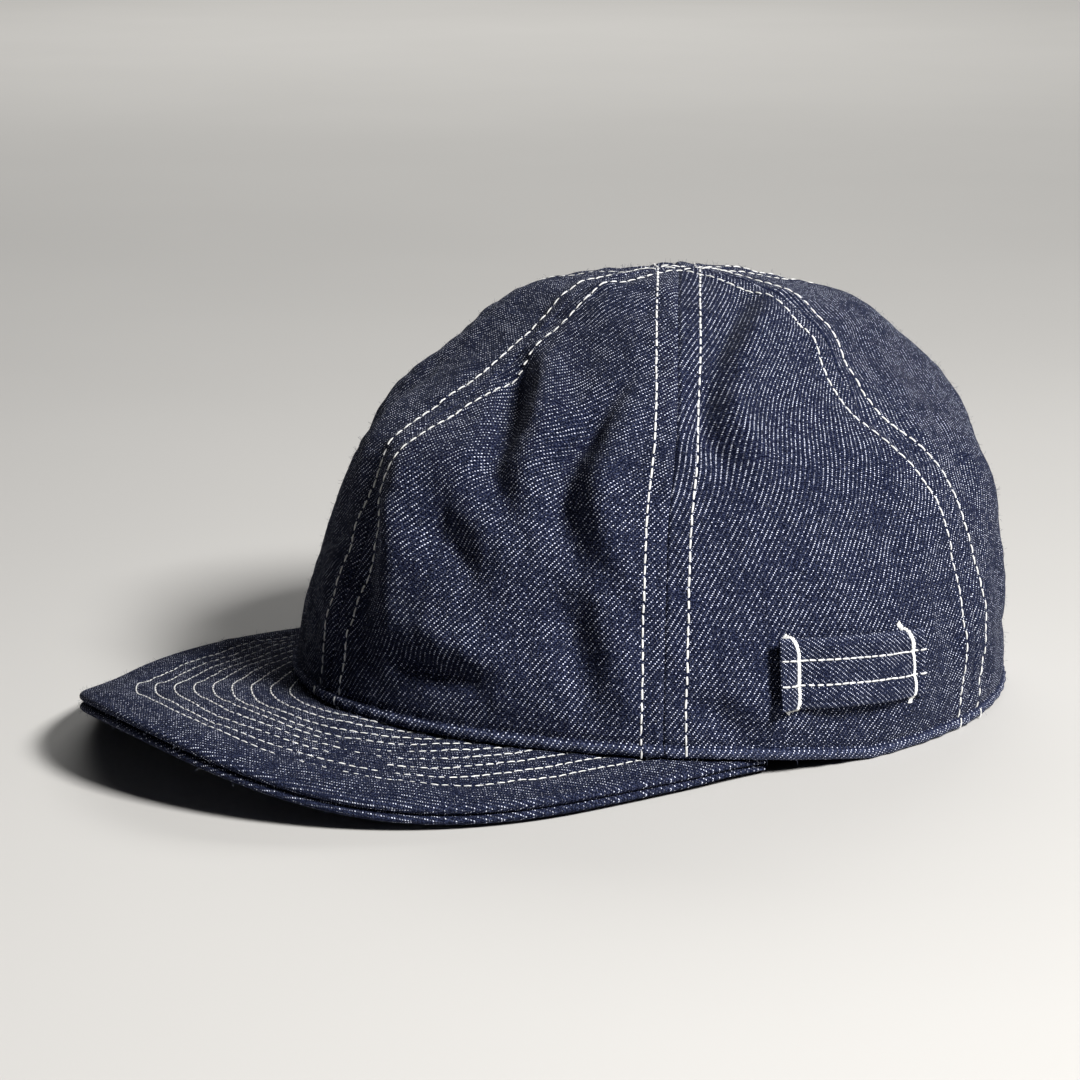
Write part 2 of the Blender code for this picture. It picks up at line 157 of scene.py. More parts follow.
class CapColours(bpy.types.PropertyGroup):
    """Colours of the cloth and the thread."""

    warp: colour("Warp", "Indigo yarns of the cloth's face", (0.0026, 0.0042, 0.0170))
    weft: colour("Weft", "Pale yarns that show as flecks", (0.80, 0.84, 1.0))
    worn: colour("Worn", "Paler indigo of worn edges and of the nap", (0.080, 0.098, 0.190))
    # The peak's warp is set darker than the crown's, partly as painted shade on the level peak
    peak_shaded_warp: colour("Peak warp", "Indigo yarns of the peak's cloth", (0.0024, 0.0038, 0.0145))
    thread: colour("Thread", "Off-white sewing thread", (0.86, 0.86, 0.84))
    floor: colour("Floor", "Pale floor", (0.55, 0.54, 0.52))


# The crown's tables

SEAM_TURNS = np.radians((0.0, 63.5, 119.0, 180.0))

# Level sections from rim to top: height and reach along each seam, as shares of the rim's own
Section = namedtuple("Section", "up front side_front side_back back")
CROWN_SECTIONS = tuple(Section(*row) for row in (
    (0.00, 1.00, 1.00, 1.00, 1.00),
    (0.10, 0.98, 1.00, 1.02, 0.97),
    (0.22, 0.96, 0.97, 1.02, 0.94),
    (0.36, 0.91, 0.92, 0.99, 0.93),
    (0.50, 0.86, 0.87, 0.94, 0.93),
    (0.62, 0.80, 0.82, 0.84, 0.92),
    (0.72, 0.64, 0.77, 0.70, 0.86),
    (0.81, 0.49, 0.66, 0.59, 0.73),
    (0.89, 0.37, 0.55, 0.51, 0.58),
    (0.955, 0.30, 0.39, 0.36, 0.38),
    (0.99, 0.22, 0.19, 0.18, 0.16),
    (1.00, 0.00, 0.00, 0.00, 0.00),
))

# Folds: start, middle and end, in degrees round from the front and as a share of the way up, with half
# width and depth as shares of fold_width and fold_depth; a negative depth swells outwards
Fold = namedtuple("Fold", "turn up turn_mid up_mid turn_end up_end width depth")
CROWN_FOLDS = tuple(Fold(*row) for row in (
    (3, 0.81, 20, 0.705, 32, 0.55, 0.52, 1.25),
    (10, 0.85, 27, 0.745, 38, 0.58, 0.52, -0.75),
    (46, 0.82, 42, 0.75, 42, 0.66, 0.42, 0.55),
    (42, 0.72, 43, 0.60, 48, 0.43, 0.56, 1.40),
    (52, 0.80, 50, 0.66, 51, 0.57, 0.50, -0.60),
    (49, 0.64, 51, 0.53, 56, 0.40, 0.55, -0.75),
    (4, 0.64, 11, 0.46, 16, 0.22, 0.66, -1.00),
    (-8, 0.62, 1, 0.44, 7, 0.20, 0.80, 0.45),
    (10, 0.66, 17, 0.44, 22, 0.22, 1.70, -0.50),
    (17, 0.60, 21, 0.49, 24, 0.38, 0.55, 0.25),
    (17, 0.165, 25, 0.145, 34, 0.14, 0.38, 0.80),
    (18, 0.235, 27, 0.225, 36, 0.20, 0.50, -0.50),
    (18, 0.47, 26, 0.43, 32, 0.33, 0.46, 0.65),
    (23, 0.54, 31, 0.485, 38, 0.40, 0.50, -0.45),
    (46, 0.36, 49, 0.25, 51.5, 0.10, 0.50, 0.95),
    (52, 0.36, 55, 0.25, 57, 0.12, 0.48, -0.60),
    (36, 0.30, 40, 0.27, 45, 0.25, 0.90, 0.30),
    (97, 0.965, 81, 0.90, 73, 0.79, 0.46, 1.45),
    (73, 0.82, 71.5, 0.75, 73, 0.65, 0.46, 1.20),
    (108, 0.95, 90, 0.905, 80, 0.79, 0.54, -0.85),
    (80, 0.80, 78.5, 0.73, 80, 0.63, 0.54, -0.70),
    (65.5, 0.15, 70, 0.10, 74.5, 0.04, 0.38, 0.50),
    (71, 0.17, 76, 0.13, 80, 0.08, 0.44, -0.35),
    (90, 0.49, 98, 0.47, 110, 0.51, 1.00, 0.40),
    (86, 0.40, 95, 0.36, 105, 0.38, 0.90, -0.20),
    (108, 0.36, 110, 0.28, 111, 0.18, 0.42, 0.30),
    (110, 0.76, 115, 0.70, 119, 0.62, 0.62, 0.45),
    (100, 0.70, 106, 0.64, 112, 0.56, 0.80, -0.25),
    (150, 0.64, 156, 0.52, 159, 0.38, 1.00, 0.45),
    (136, 0.60, 140, 0.46, 140, 0.30, 0.90, -0.30),
    (128, 0.20, 136, 0.16, 146, 0.15, 0.60, 0.35),
    (-5, 0.86, -3, 0.75, -1, 0.66, 0.50, 0.25),
    (-24, 0.76, -30, 0.64, -35, 0.50, 0.70, 0.55),
    (-34, 0.78, -40, 0.66, -44, 0.54, 0.60, -0.35),
    (-46, 0.60, -50, 0.48, -51, 0.36, 0.70, 0.50),
    (-80, 0.84, -78, 0.72, -75, 0.60, 0.70, 0.50),
    (-30, 0.24, -37, 0.19, -45, 0.17, 0.60, 0.45),
    (-98, 0.46, -102, 0.38, -104, 0.28, 0.90, 0.40),
    (-90, 0.30, -84, 0.22, -76, 0.16, 0.60, 0.30),
    (-150, 0.68, -147, 0.56, -146, 0.42, 0.90, 0.45),
    (-162, 0.30, -156, 0.20, -150, 0.14, 0.60, 0.35),
))

# The hem's outline above its bottom edge: height in shares of hem_roll, swell in shares of hem_proud
HemRow = namedtuple("HemRow", "up swell wear")
HEM_ROLL = tuple(HemRow(*row) for row in (
    (0.00, -0.60, 0.70),
    (0.10, 0.20, 0.90),
    (0.28, 0.80, 0.85),
    (0.52, 1.00, 0.60),
    (0.76, 0.95, 0.80),
    (0.92, 0.60, 0.60),
    (1.05, -0.80, 0.00),
    (1.25, -0.35, 0.00),
    (1.60, 0.00, 0.00),
))

# The loop's lift off the crown along its length, as shares of its length and stand_off
LoopStation = namedtuple("LoopStation", "along lift")
LOOP_STATIONS = tuple(LoopStation(*row) for row in (
    (0.00, 1.15),
    (0.08, 0.75),
    (0.155, 0.20),
    (0.30, 0.65),
    (0.60, 0.75),
    (0.80, 0.50),
    (0.925, 0.15),
    (1.00, 0.30),
))

# The bar tacks: where each is along the loop, and how far it strays from there on its way across
TACK_PLACES = (0.130, 0.925)
TACK_COURSES = (
    ((-0.06, -0.050), (0.05, -0.006), (0.30, 0.000), (0.65, -0.010), (0.88, -0.026), (1.03, -0.058)),
    ((-0.09, -0.010), (0.12, 0.000), (0.37, -0.003), (0.61, -0.022), (0.86, -0.046), (1.00, -0.072), (1.10, -0.098)),
)
LOOP_ROW_PLACES = (0.34, 0.68)

# The crown's panels: name, where each starts and ends, and the CAD node that it stands for
Panel = namedtuple("Panel", "name start end node")
PANELS = (
    Panel("crown_front_left", 0, 1, "front_panel_left"),
    Panel("crown_side_left", 1, 2, "side_panel_left"),
    Panel("crown_back_left", 2, 3, "back_panel_left"),
    Panel("crown_front_right", -1, 0, "front_panel_right"),
    Panel("crown_side_right", -2, -1, "side_panel_right"),
    Panel("crown_back_right", -3, -2, "back_panel_right"),
)
PANEL_COLUMNS = 104
PANEL_ROWS = 150
PEAK_COLUMNS = 220
PEAK_ROWS = 84
LOOP_COLUMNS = 96
LOOP_ROWS = 36

# The middle of the cap's box, from the middle of the rim
BOX_CENTRE = np.array([0.0021, -0.03175, 0.0])

# Small relief of the cloth and gaps in it, in metres unless a comment says otherwise
OPEN_ABOVE = 0.012  # above this height the hem no longer holds the cloth smooth
CHANNEL_DEPTH = 0.00022  # the channel that a stitch row draws
CHANNEL_WIDTH = 0.0008
QUILT_WIDTH = 0.0009  # of the same channel in the peak
PUCKER_REACH = 0.0075  # how far from a stitch row its puckers die out
FINE_DEPTH = 0.00012  # the finest unevenness
ROPING_DEPTH = 0.00018  # the slanting ridges of the hem's roll
ROPING_STEP = 0.0068  # from ridge to ridge along the hem
ROPING_RISE = 0.0060  # from ridge to ridge up it
SEAM_WEAR = 0.16  # how worn the cloth is beside a seam, as a share
INSIDE_GROOVE_WIDTH = 0.0009
PANEL_GAP = 0.00004  # between each panel's edge and its seam's middle
TOP_GAP = 0.0003  # between the panels' tips and the very top
HEM_STEP = 0.0008  # from the hem's last station to the panel's next row of points
HEM_FULL = 0.004  # the height up to which the hem's wall is thick
HEM_TAPER = 0.006  # the height over which it thins above that
LOOP_ROLL = 0.0010
LOOP_PUFF = 0.00045
STITCH_DRAW = 0.00022  # how far a stitch row draws the loop in
TACK_DRAW = 0.0005
WORN_MIDDLE = 0.62  # where the peak's rows are worn most, in radians round from the front
WORN_SPREAD = 0.30
LINE_STEP = 0.001  # between the points of a laid line
LINE_CLEAR = 0.0004  # how much nearer the edge a peak row may come than its distance
ROW_ROUNDING = 14  # neighbours that round off a peak row's corners, 1 mm apart

# How far the seams before and behind the left ear stray from their turns, in degrees, by share of the way up
SEAM_BENDS = {
    1: ((0.00, -1.5), (0.30, -1.4), (0.52, -1.2), (0.63, -0.5), (0.74, 0.2), (0.86, 0.3), (1.00, 0.0)),
    2: ((0.00, 0.0), (0.45, -0.3), (0.57, -0.6), (0.64, -3.0), (0.70, -5.6), (0.78, -6.2), (0.87, -4.2),
        (0.95, -1.5), (1.00, 0.0)),
}


def seam_turn(place):
    """The turn of a seam by its number, negative on the wearer's right."""
    return np.sign(place) * SEAM_TURNS[abs(place)]


# Curves and noise

def smooth_curve(rows, place, level_end=False):
    """The smooth curve through rows of values, at places counted from the first row."""
    last = rows[-2] if level_end else 2 * rows[-1] - rows[-2]
    padded = np.vstack([2 * rows[0] - rows[1], rows, last])
    first = np.minimum(place.astype(int), len(rows) - 2)
    t = (place - first)[..., None]
    a, b, c, d = (padded[first + k] for k in range(4))
    return (2 * b + (c - a) * t + (2 * a - 5 * b + 4 * c - d) * t**2 + (3 * b - a - 3 * c + d) * t**3) / 2


def smooth_line(points, count):
    """A smooth line of so many points through a few."""
    return smooth_curve(np.asarray(points, float), np.linspace(0, len(points) - 1, count))


def nearest_on_line(points, line):
    """Each point's distance from a line of short stretches, and how far along the line it is nearest."""
    nearest = np.full(points.shape[:-1], np.inf)
    along = np.zeros(points.shape[:-1])
    for k, (start, end) in enumerate(zip(line[:-1], line[1:])):
        stretch = end - start
        t = np.clip(((points - start) @ stretch) / (stretch @ stretch), 0, 1)
        away = np.linalg.norm(points - (start + t[..., None] * stretch), axis=-1)
        closer = away < nearest
        nearest = np.where(closer, away, nearest)
        along = np.where(closer, (k + t) / (len(line) - 1), along)
    return nearest, along


def soft_noise(points, size, seed):
    """Smooth noise of about unit strength in space, as a sum of waves in random directions."""
    rng = np.random.default_rng(seed)
    directions = rng.normal(size=(18, 3))
    directions /= np.linalg.norm(directions, axis=1, keepdims=True)
    pace = 2 * np.pi / size * rng.uniform(0.5, 1.4, 18)
    phase = rng.uniform(0, 2 * np.pi, 18)
    waves = np.sin(points @ (directions * pace[:, None]).T + phase)
    return waves.sum(-1) / 3.0


def hill(away, width):
    """A smooth hill of unit height, by the distance from its crest."""
    return np.exp(-((away / width) ** 2))


def smooth_step(value):
    """A smooth rise from 0 to 1."""
    value = np.clip(value, 0, 1)
    return value * value * (3 - 2 * value)


def rolled(from_edge, radius, least=0.0):
    """How full a rolled edge is, as a share, by the distance from it."""
    return np.sqrt(np.clip(1 - (1 - np.minimum(from_edge / radius, 1)) ** 2, least, 1))


# The crown's surface

class CrownForm:
    """The crown's outer surface as functions of turn, round from the front, and climb, up from the rim."""

    def __init__(self, sizes):
        self.sizes = sizes
        table = np.array(CROWN_SECTIONS)
        top = np.array([0.0, sizes.top_setback])
        points = top + table[:, 1:, None] * (self.rim_oval(SEAM_TURNS) - top)
        self.across = np.linalg.solve(self.sine_waves(SEAM_TURNS[1:3]), points[:, 1:3, 0].T).T
        self.along = np.linalg.solve(self.cosine_waves(SEAM_TURNS), points[:, :, 1].T).T
        self.ups = table[:, :1]
        self.folds = [self.fold_line(fold) for fold in CROWN_FOLDS]

    @staticmethod
    def cosine_waves(turn):
        return np.stack([np.cos(k * turn) for k in range(4)], -1)

    @staticmethod
    def sine_waves(turn):
        return np.stack([np.sin(k * turn) for k in (1, 2)], -1)

    def rim_oval(self, turn):
        """The outer oval of the rim, as x and y."""
        reach = np.where(np.cos(turn) > 0, self.sizes.front_reach, self.sizes.back_reach)
        return np.stack([self.sizes.width / 2 * np.sin(turn), -reach * np.cos(turn)], -1)

    def rim_height(self, turn):
        """The height of the rim's bottom edge."""
        part = np.minimum(np.abs(turn) / self.sizes.rim_touches, 1.0)
        return self.sizes.rim_rise * (1 - part**self.sizes.rim_power)

    def dome(self, turn, climb):
        """The smooth surface before folds and seams."""
        place = np.clip(climb, 0, 1) * (len(self.ups) - 1)
        x = (smooth_curve(self.across, place) * self.sine_waves(turn)).sum(-1)
        y = (smooth_curve(self.along, place) * self.cosine_waves(turn)).sum(-1)
        up = smooth_curve(self.ups, place, level_end=True)[..., 0]
        rim = self.rim_height(turn)
        return np.stack([x, y, rim + (self.sizes.height - rim) * up], -1)

    def steps(self, turn, climb):
        """How the surface moves for a step round it and for a step up it."""
        step = 1e-4
        up_step = np.where(climb > 0.5, -step, step)
        here = self.dome(turn, climb)
        around = (self.dome(turn + step, climb) - self.dome(turn - step, climb)) / (2 * step)
        upward = (self.dome(turn, climb + up_step) - here) / up_step[..., None]
        return around, upward

    def normal(self, turn, climb):
        """Outward normals, turned level in the hem so that its bottom is flat."""
        around, upward = self.steps(turn, climb)
        normal = np.cross(around, upward)
        normal /= np.linalg.norm(normal, axis=-1, keepdims=True)
        above = climb * np.linalg.norm(upward, axis=-1)
        normal[..., 2] *= np.clip(above / self.sizes.hem_height, 0, 1)
        return normal / np.linalg.norm(normal, axis=-1, keepdims=True)

    def climb_at(self, up):
        """The climb that reaches a share of the way up."""
        return np.interp(up, self.ups[:, 0], np.linspace(0, 1, len(self.ups)))

    def fold_line(self, fold):
        """A fold's line on the dome."""
        stations = ((fold.turn, fold.up), (fold.turn_mid, fold.up_mid), (fold.turn_end, fold.up_end))
        line = smooth_line(stations, 12)
        return self.dome(np.radians(line[:, 0]), self.climb_at(line[:, 1]))

    def fold_depth(self, points):
        """How far the folds press the cloth inwards, each fading towards its ends."""
        depth = np.zeros(points.shape[:-1])
        for fold, line in zip(CROWN_FOLDS, self.folds):
            away, along = nearest_on_line(points, line)
            fade = 0.35 + 0.65 * np.sin(np.pi * along) ** 0.8
            width = fold.width * self.sizes.fold_width * (0.8 + 0.2 * fade)
            depth += fold.depth * self.sizes.fold_depth * fade * hill(away, width)
        return depth

    def seam(self, place, climb):
        """The turn of a seam at each climb."""
        line = smooth_line(SEAM_BENDS.get(place, ((0, 0), (1, 0))), 80)
        return seam_turn(place) + np.radians(np.interp(climb, self.climb_at(line[:, 0]), line[:, 1]))

    def seam_distance(self, turn, climb):
        """The distance to the nearest seam, in metres."""
        away = np.min([np.abs(turn - self.seam(place, climb)) for place in range(-3, 4)], axis=0)
        return away * np.linalg.norm(self.steps(turn, climb)[0], axis=-1)

    def hem_ups(self):
        """The heights of the hem's stations."""
        return [row.up * self.sizes.hem_roll for row in HEM_ROLL]

    def ripples(self, dome, above):
        """The cloth's soft unevenness, which dies out towards the hem."""
        waves = 0.9 * soft_noise(dome, 0.042, 3) + 0.34 * soft_noise(dome, 0.017, 5)
        return self.sizes.ripple * waves * smooth_step(above / OPEN_ABOVE)

    def relief(self, turn, climb, dome):
        """What folds, seams, puckers, hem and soft unevenness add to the smooth dome."""
        sizes = self.sizes
        away = self.seam_distance(turn, climb)
        above = climb * np.linalg.norm(self.steps(turn, climb)[1], axis=-1)
        open_cloth = smooth_step(above / OPEN_ABOVE)
        band = 1 - smooth_step((away - sizes.row_offset - 0.0006) / 0.0016)
        raised = sizes.seam_raise * band
        groove = sizes.seam_groove * hill(away, sizes.seam_groove_width)
        channel = CHANNEL_DEPTH * hill(away - sizes.row_offset, CHANNEL_WIDTH)
        reach = hill(np.maximum(away - sizes.row_offset, 0), PUCKER_REACH)
        along_seam = dome * np.array([1.0, 1.0, 1.15])
        pucker = sizes.pucker * reach * soft_noise(along_seam, 0.0110, 11) * smooth_step(away / 0.003)
        fine = FINE_DEPTH * soft_noise(dome, 0.006, 8)
        swell = np.interp(above, self.hem_ups(), [row.swell * sizes.hem_proud for row in HEM_ROLL])
        twist = turn * sizes.width / 2 / ROPING_STEP + above / ROPING_RISE + 0.25 * soft_noise(dome, 0.020, 21)
        roping = ROPING_DEPTH * np.sin(2 * np.pi * twist) * (1 - smooth_step((above - sizes.hem_roll) / 0.002))
        cloth = raised - groove - channel + (pucker + fine) * open_cloth + self.ripples(dome, above)
        return cloth + swell + roping - self.fold_depth(dome)

    def skin(self, turn, climb):
        """The finished outer surface."""
        dome = self.dome(turn, climb)
        return dome + self.relief(turn, climb, dome)[..., None] * self.normal(turn, climb)


# Meshes from grids

def new_object(name, data):
    """An object in the scene."""
    made = bpy.data.objects.new(name, data)
    bpy.context.scene.collection.objects.link(made)
    return made


def finish_mesh(name, mesh, materials, nodes):
    """Links a piece, gives it its materials, hangs it on the root body and hides the solids that it stands for."""
    piece = new_object(name, mesh)
    for material in materials:
        mesh.materials.append(material)
    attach(piece, "root")
    if nodes:
        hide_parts(*nodes)
    return piece


def shell_mesh(name, outer, inner, outer_uv, inner_uv, wear, lined=False):
    """A closed cloth shell between two grids, with its weave map and its wear."""
    rows, columns = outer.shape[:2]
    count = rows * columns
    points = np.concatenate([outer.reshape(-1, 3), inner.reshape(-1, 3)]) - BOX_CENTRE
    grid = np.arange(count).reshape(rows, columns)
    quads = np.stack([grid[:-1, :-1], grid[:-1, 1:], grid[1:, 1:], grid[1:, :-1]], -1).reshape(-1, 4)
    edge = np.array([*grid[0, :-1], *grid[:-1, -1], *grid[-1, :0:-1], *grid[:0:-1, 0]])
    following = np.roll(edge, -1)
    strip = np.stack([following, edge, edge + count, following + count], -1)
    faces = np.concatenate([quads, quads[:, ::-1] + count, strip])
    mesh = bpy.data.meshes.new(name)
    mesh.from_pydata(points.tolist(), [], faces.tolist())
    weave = np.concatenate([outer_uv.reshape(-1, 2), inner_uv.reshape(-1, 2)])
    layer = mesh.uv_layers.new(name="weave")
    layer.data.foreach_set("uv", weave[faces.ravel()].ravel())
    worn = mesh.attributes.new("wear", "FLOAT", "POINT")
    worn.data.foreach_set("value", np.concatenate([wear.ravel(), np.zeros(count)]).astype(np.float32))
    inside = 1 if lined else 0
    mesh.polygons.foreach_set("material_index", np.repeat([0, inside, 0], [len(quads), len(quads), len(strip)]))
    face_outwards(mesh)
    return mesh


def face_outwards(mesh):
    """Turns every face outwards and shades the mesh smooth."""
    shape = bmesh.new()
    shape.from_mesh(mesh)
    bmesh.ops.recalc_face_normals(shape, faces=shape.faces)
    shape.to_mesh(mesh)
    shape.free()
    mesh.shade_smooth()


def arc_lengths(points, axis):
    """Distances along one axis of a grid of points."""
    steps = np.linalg.norm(np.diff(points, axis=axis), axis=-1)
    first = np.zeros_like(np.take(steps, [0], axis=axis))
    return np.concatenate([first, np.cumsum(steps, axis=axis)], axis=axis)


def denser_ends(count, ends):
    """Shares from 0 to 1 that crowd towards both ends."""
    even = np.linspace(0, 1, count)
    return even - ends * np.sin(2 * np.pi * even) / (2 * np.pi)


def make_panel(form, panel, materials):
    """One crown panel, from one seam to the next."""
    sizes = form.sizes
    start, end = seam_turn(panel.start), seam_turn(panel.end)
    turns = np.linspace(start, end, PANEL_COLUMNS + 1)
    zero = np.zeros_like(turns)
    pace = np.linalg.norm(form.steps(turns, zero)[1], axis=-1)
    hem = [row.up * sizes.hem_roll / pace for row in HEM_ROLL]
    first = hem[-1] + HEM_STEP / pace
    tip = 1 - TOP_GAP / np.linalg.norm(form.steps(turns, zero + 1)[1], axis=-1)
    rise = np.linspace(0, 1, PANEL_ROWS - len(HEM_ROLL) + 1)[:, None]
    climbs = np.concatenate([np.array(hem), first + (tip - first) * rise])
    shares = denser_ends(PANEL_COLUMNS + 1, 0.55)
    bounds = []
    for place, column, side in ((panel.start, 0, 1), (panel.end, -1, -1)):
        line = form.seam(place, climbs[:, column])
        around = np.linalg.norm(form.steps(line, climbs[:, column])[0], axis=-1)
        bounds.append(line + side * PANEL_GAP / around)
    turn = bounds[0][:, None] + shares * (bounds[1] - bounds[0])[:, None]
    outer = form.skin(turn, climbs)
    dome = form.dome(turn, climbs)
    above = climbs * pace
    wall = sizes.cloth + (sizes.hem_cloth - sizes.cloth) * (1 - smooth_step((above - HEM_FULL) / HEM_TAPER))
    seam_distance = form.seam_distance(turn, climbs)
    groove = sizes.seam_groove * hill(seam_distance, INSIDE_GROOVE_WIDTH)
    sunk = wall + groove + form.fold_depth(dome) - form.ripples(dome, above)
    inner = dome - sunk[..., None] * form.normal(turn, climbs)
    across = arc_lengths(dome, 1)
    middle = PANEL_COLUMNS // 2
    across -= across[:, middle:middle + 1]
    upward = np.broadcast_to(arc_lengths(dome, 0)[:, middle:middle + 1], across.shape)
    offset = 0.011 * (panel.start + 4)
    weave = np.stack([across + 0.2 + offset, upward + 0.1 + offset], -1)
    wear = np.interp(above, form.hem_ups(), [row.wear for row in HEM_ROLL])
    wear = np.maximum(wear, SEAM_WEAR * hill(seam_distance - 0.0010, 0.0006))
    mesh = shell_mesh(panel.name, outer, inner, weave, weave, wear, lined=True)
    return finish_mesh(panel.name, mesh, materials, [panel.node])


# The peak's surface

class PeakForm:
    """The peak's covers as a grid from the rim to the edge."""

    def __init__(self, sizes, crown):
        self.sizes = sizes
        self.crown = crown

    def outline(self, along):
        """The edge from its left end (-1) over the tip (0) to its right end (1), as x and y."""
        sizes, crown = self.sizes, self.crown.sizes
        half = crown.width / 2 - sizes.side_inset
        end = crown.front_reach * np.cos(sizes.end_turn)
        widest = end + sizes.side_length
        angle = np.linspace(0, np.pi / 2, 160)
        front = np.stack([half * np.sin(angle),
                          widest + (crown.front_reach + sizes.length - widest) * np.cos(angle)], -1)
        side = np.linspace(0, 1, 80)[1:]
        back = np.stack([half - sizes.side_taper * side**2, widest - sizes.side_length * side], -1)
        line = np.concatenate([front, back])
        run = arc_lengths(line, 0)
        x = np.sign(along) * np.interp(np.abs(along), run / run[-1], line[:, 0])
        return np.stack([x, -np.interp(np.abs(along), run / run[-1], line[:, 1])], -1)

    def lift(self, x):
        """How high the lower edge is lifted."""
        sizes = self.sizes
        half = self.crown.sizes.width / 2 - sizes.side_inset
        across = np.abs(x / half - sizes.arch_offset) / sizes.arch_span
        arch = (1 - np.minimum(across, 1) ** 2) ** sizes.arch_power
        return sizes.side_lift + (sizes.tip_lift - sizes.side_lift) * arch

    def thinning(self, along):
        """The share of the covers' thickness that is left along the peak, least at its two ends."""
        return 1 - self.sizes.end_thinning * np.abs(along) ** 4

    def row_distances(self):
        """How far each stitch row lies from the edge at its ends."""
        return self.sizes.first_row + self.sizes.row_step * np.arange(self.sizes.rows)

    def row_draw(self, along):
        """How much further from the edge the rows lie, along the edge from -1 to 1."""
        return self.sizes.row_draw * (1 - along**2) ** 2

    def top(self, along):
        """The upper surface as a grid, with each point's distance from the edge along its column."""
        sizes = self.sizes
        turn = along * sizes.end_turn
        start = self.crown.rim_oval(turn)
        inward = start / np.linalg.norm(start, axis=-1, keepdims=True)
        start = start - sizes.tuck * inward
        end = self.outline(along)
        width = np.linalg.norm(end - start, axis=-1)
        near = sizes.edge_roll * (1 - np.cos(np.linspace(0, np.pi / 2, 9)))[:, None]
        near = np.minimum(near, 0.3 * width)
        inner = np.linspace(0, 1, PEAK_ROWS - 8)[1:, None]
        from_edge = np.concatenate([near, near[-1] + inner * (width - near[-1])])
        reach = 1 - from_edge / width
        plan = start + reach[..., None] * (end - start)
        under_hem = sizes.tuck + 0.0006 + sizes.gap
        climb = np.clip((reach * width - under_hem) / np.maximum(width - under_hem, under_hem), 0, 1)
        low = self.crown.rim_height(turn) - sizes.gap
        high = self.lift(end[:, 0]) + (sizes.top_cover + sizes.under_cover) * self.thinning(along) + sizes.gap
        crest = sizes.lip_crest * hill(from_edge - sizes.lip, sizes.lip / 2) * climb
        height = low + (high - low) * climb + crest
        return np.concatenate([plan, height[..., None]], -1), from_edge

    def quilting(self, points):
        """How deep the stitch rows draw the cover in, and how far each point lies from the edge."""
        line = self.outline(np.linspace(-1, 1, 241))
        away, along = nearest_on_line(points[..., :2], line)
        drawn = away - self.row_draw(2 * along - 1)
        return sum(hill(drawn - distance, QUILT_WIDTH) for distance in self.row_distances()), away


def make_cover(form, name, upper_side, materials, node):
    """One cover of the peak: a quilted sheet with a rolled edge."""
    sizes = form.sizes
    along = np.linspace(-1, 1, PEAK_COLUMNS + 1)
    surface, from_edge = form.top(along)
    thin = form.thinning(along)
    thickness = sizes.top_cover if upper_side else sizes.under_cover
    above = 0.0 if upper_side else sizes.top_cover
    middle = surface.copy()
    middle[..., 2] -= (above + thickness / 2) * thin + (0.0 if upper_side else sizes.gap)
    half = thickness / 2 * thin * np.maximum(rolled(from_edge, sizes.edge_roll), 0.02)
    depth, away = form.quilting(surface)
    shown = smooth_step((away - 0.001) / 0.003)
    pucker = 0.00008 * soft_noise(surface, 0.0065, 31) + 0.00030 * soft_noise(surface, 0.026, 33)
    quilt = (pucker - sizes.quilt * depth) * shown
    upper, lower = middle.copy(), middle.copy()
    upper[..., 2] += half + (quilt if upper_side else 0)
    lower[..., 2] = np.maximum(lower[..., 2] - half - (0 if upper_side else quilt), sizes.gap * 2)
    weaves = []
    for side in (upper, lower):
        run = arc_lengths(side[::-1], 0)[::-1]
        plan = side[-1, :, :2] + run[..., None] * direction(side[0, :, :2] - side[-1, :, :2])
        weaves.append(plan + np.array([0.5, 0.5]))
    wear = 0.22 * hill(from_edge, 0.0016) + 0.10 * hill(from_edge - sizes.lip, 0.003) + np.zeros(upper.shape[:2])
    mesh = shell_mesh(name, upper, lower, weaves[0], weaves[1], wear)
    return finish_mesh(name, mesh, materials, [node])


def direction(vectors):
    """Vectors at unit length."""
    return vectors / np.maximum(np.linalg.norm(vectors, axis=-1, keepdims=True), 1e-9)


# The loop

def loop_surface(crown, sizes, along, across, lift):
    """Points over the crown at shares along and across the loop."""
    middle = np.array([sizes.turn])
    climb = crown.climb_at(np.array([(sizes.height + sizes.width / 2) / crown.sizes.height]))
    pace = np.linalg.norm(crown.steps(middle, climb)[0], axis=-1)
    turn = sizes.turn + (along - 0.5) * sizes.length / pace
    height = sizes.height + across * sizes.width - (0.5 - along) * sizes.tilt
    rim = crown.rim_height(turn)
    climbs = crown.climb_at((height - rim) / (crown.sizes.height - rim))
    dome = crown.dome(turn, climbs)
    press = crown.fold_depth(dome)
    return dome + (lift - press)[..., None] * crown.normal(turn, climbs)


def loop_lift(sizes, along):
    """The loop's height above the crown along its length."""
    stations = smooth_line(np.array(LOOP_STATIONS), 60)
    return sizes.stand_off * np.interp(along, stations[:, 0], stations[:, 1])


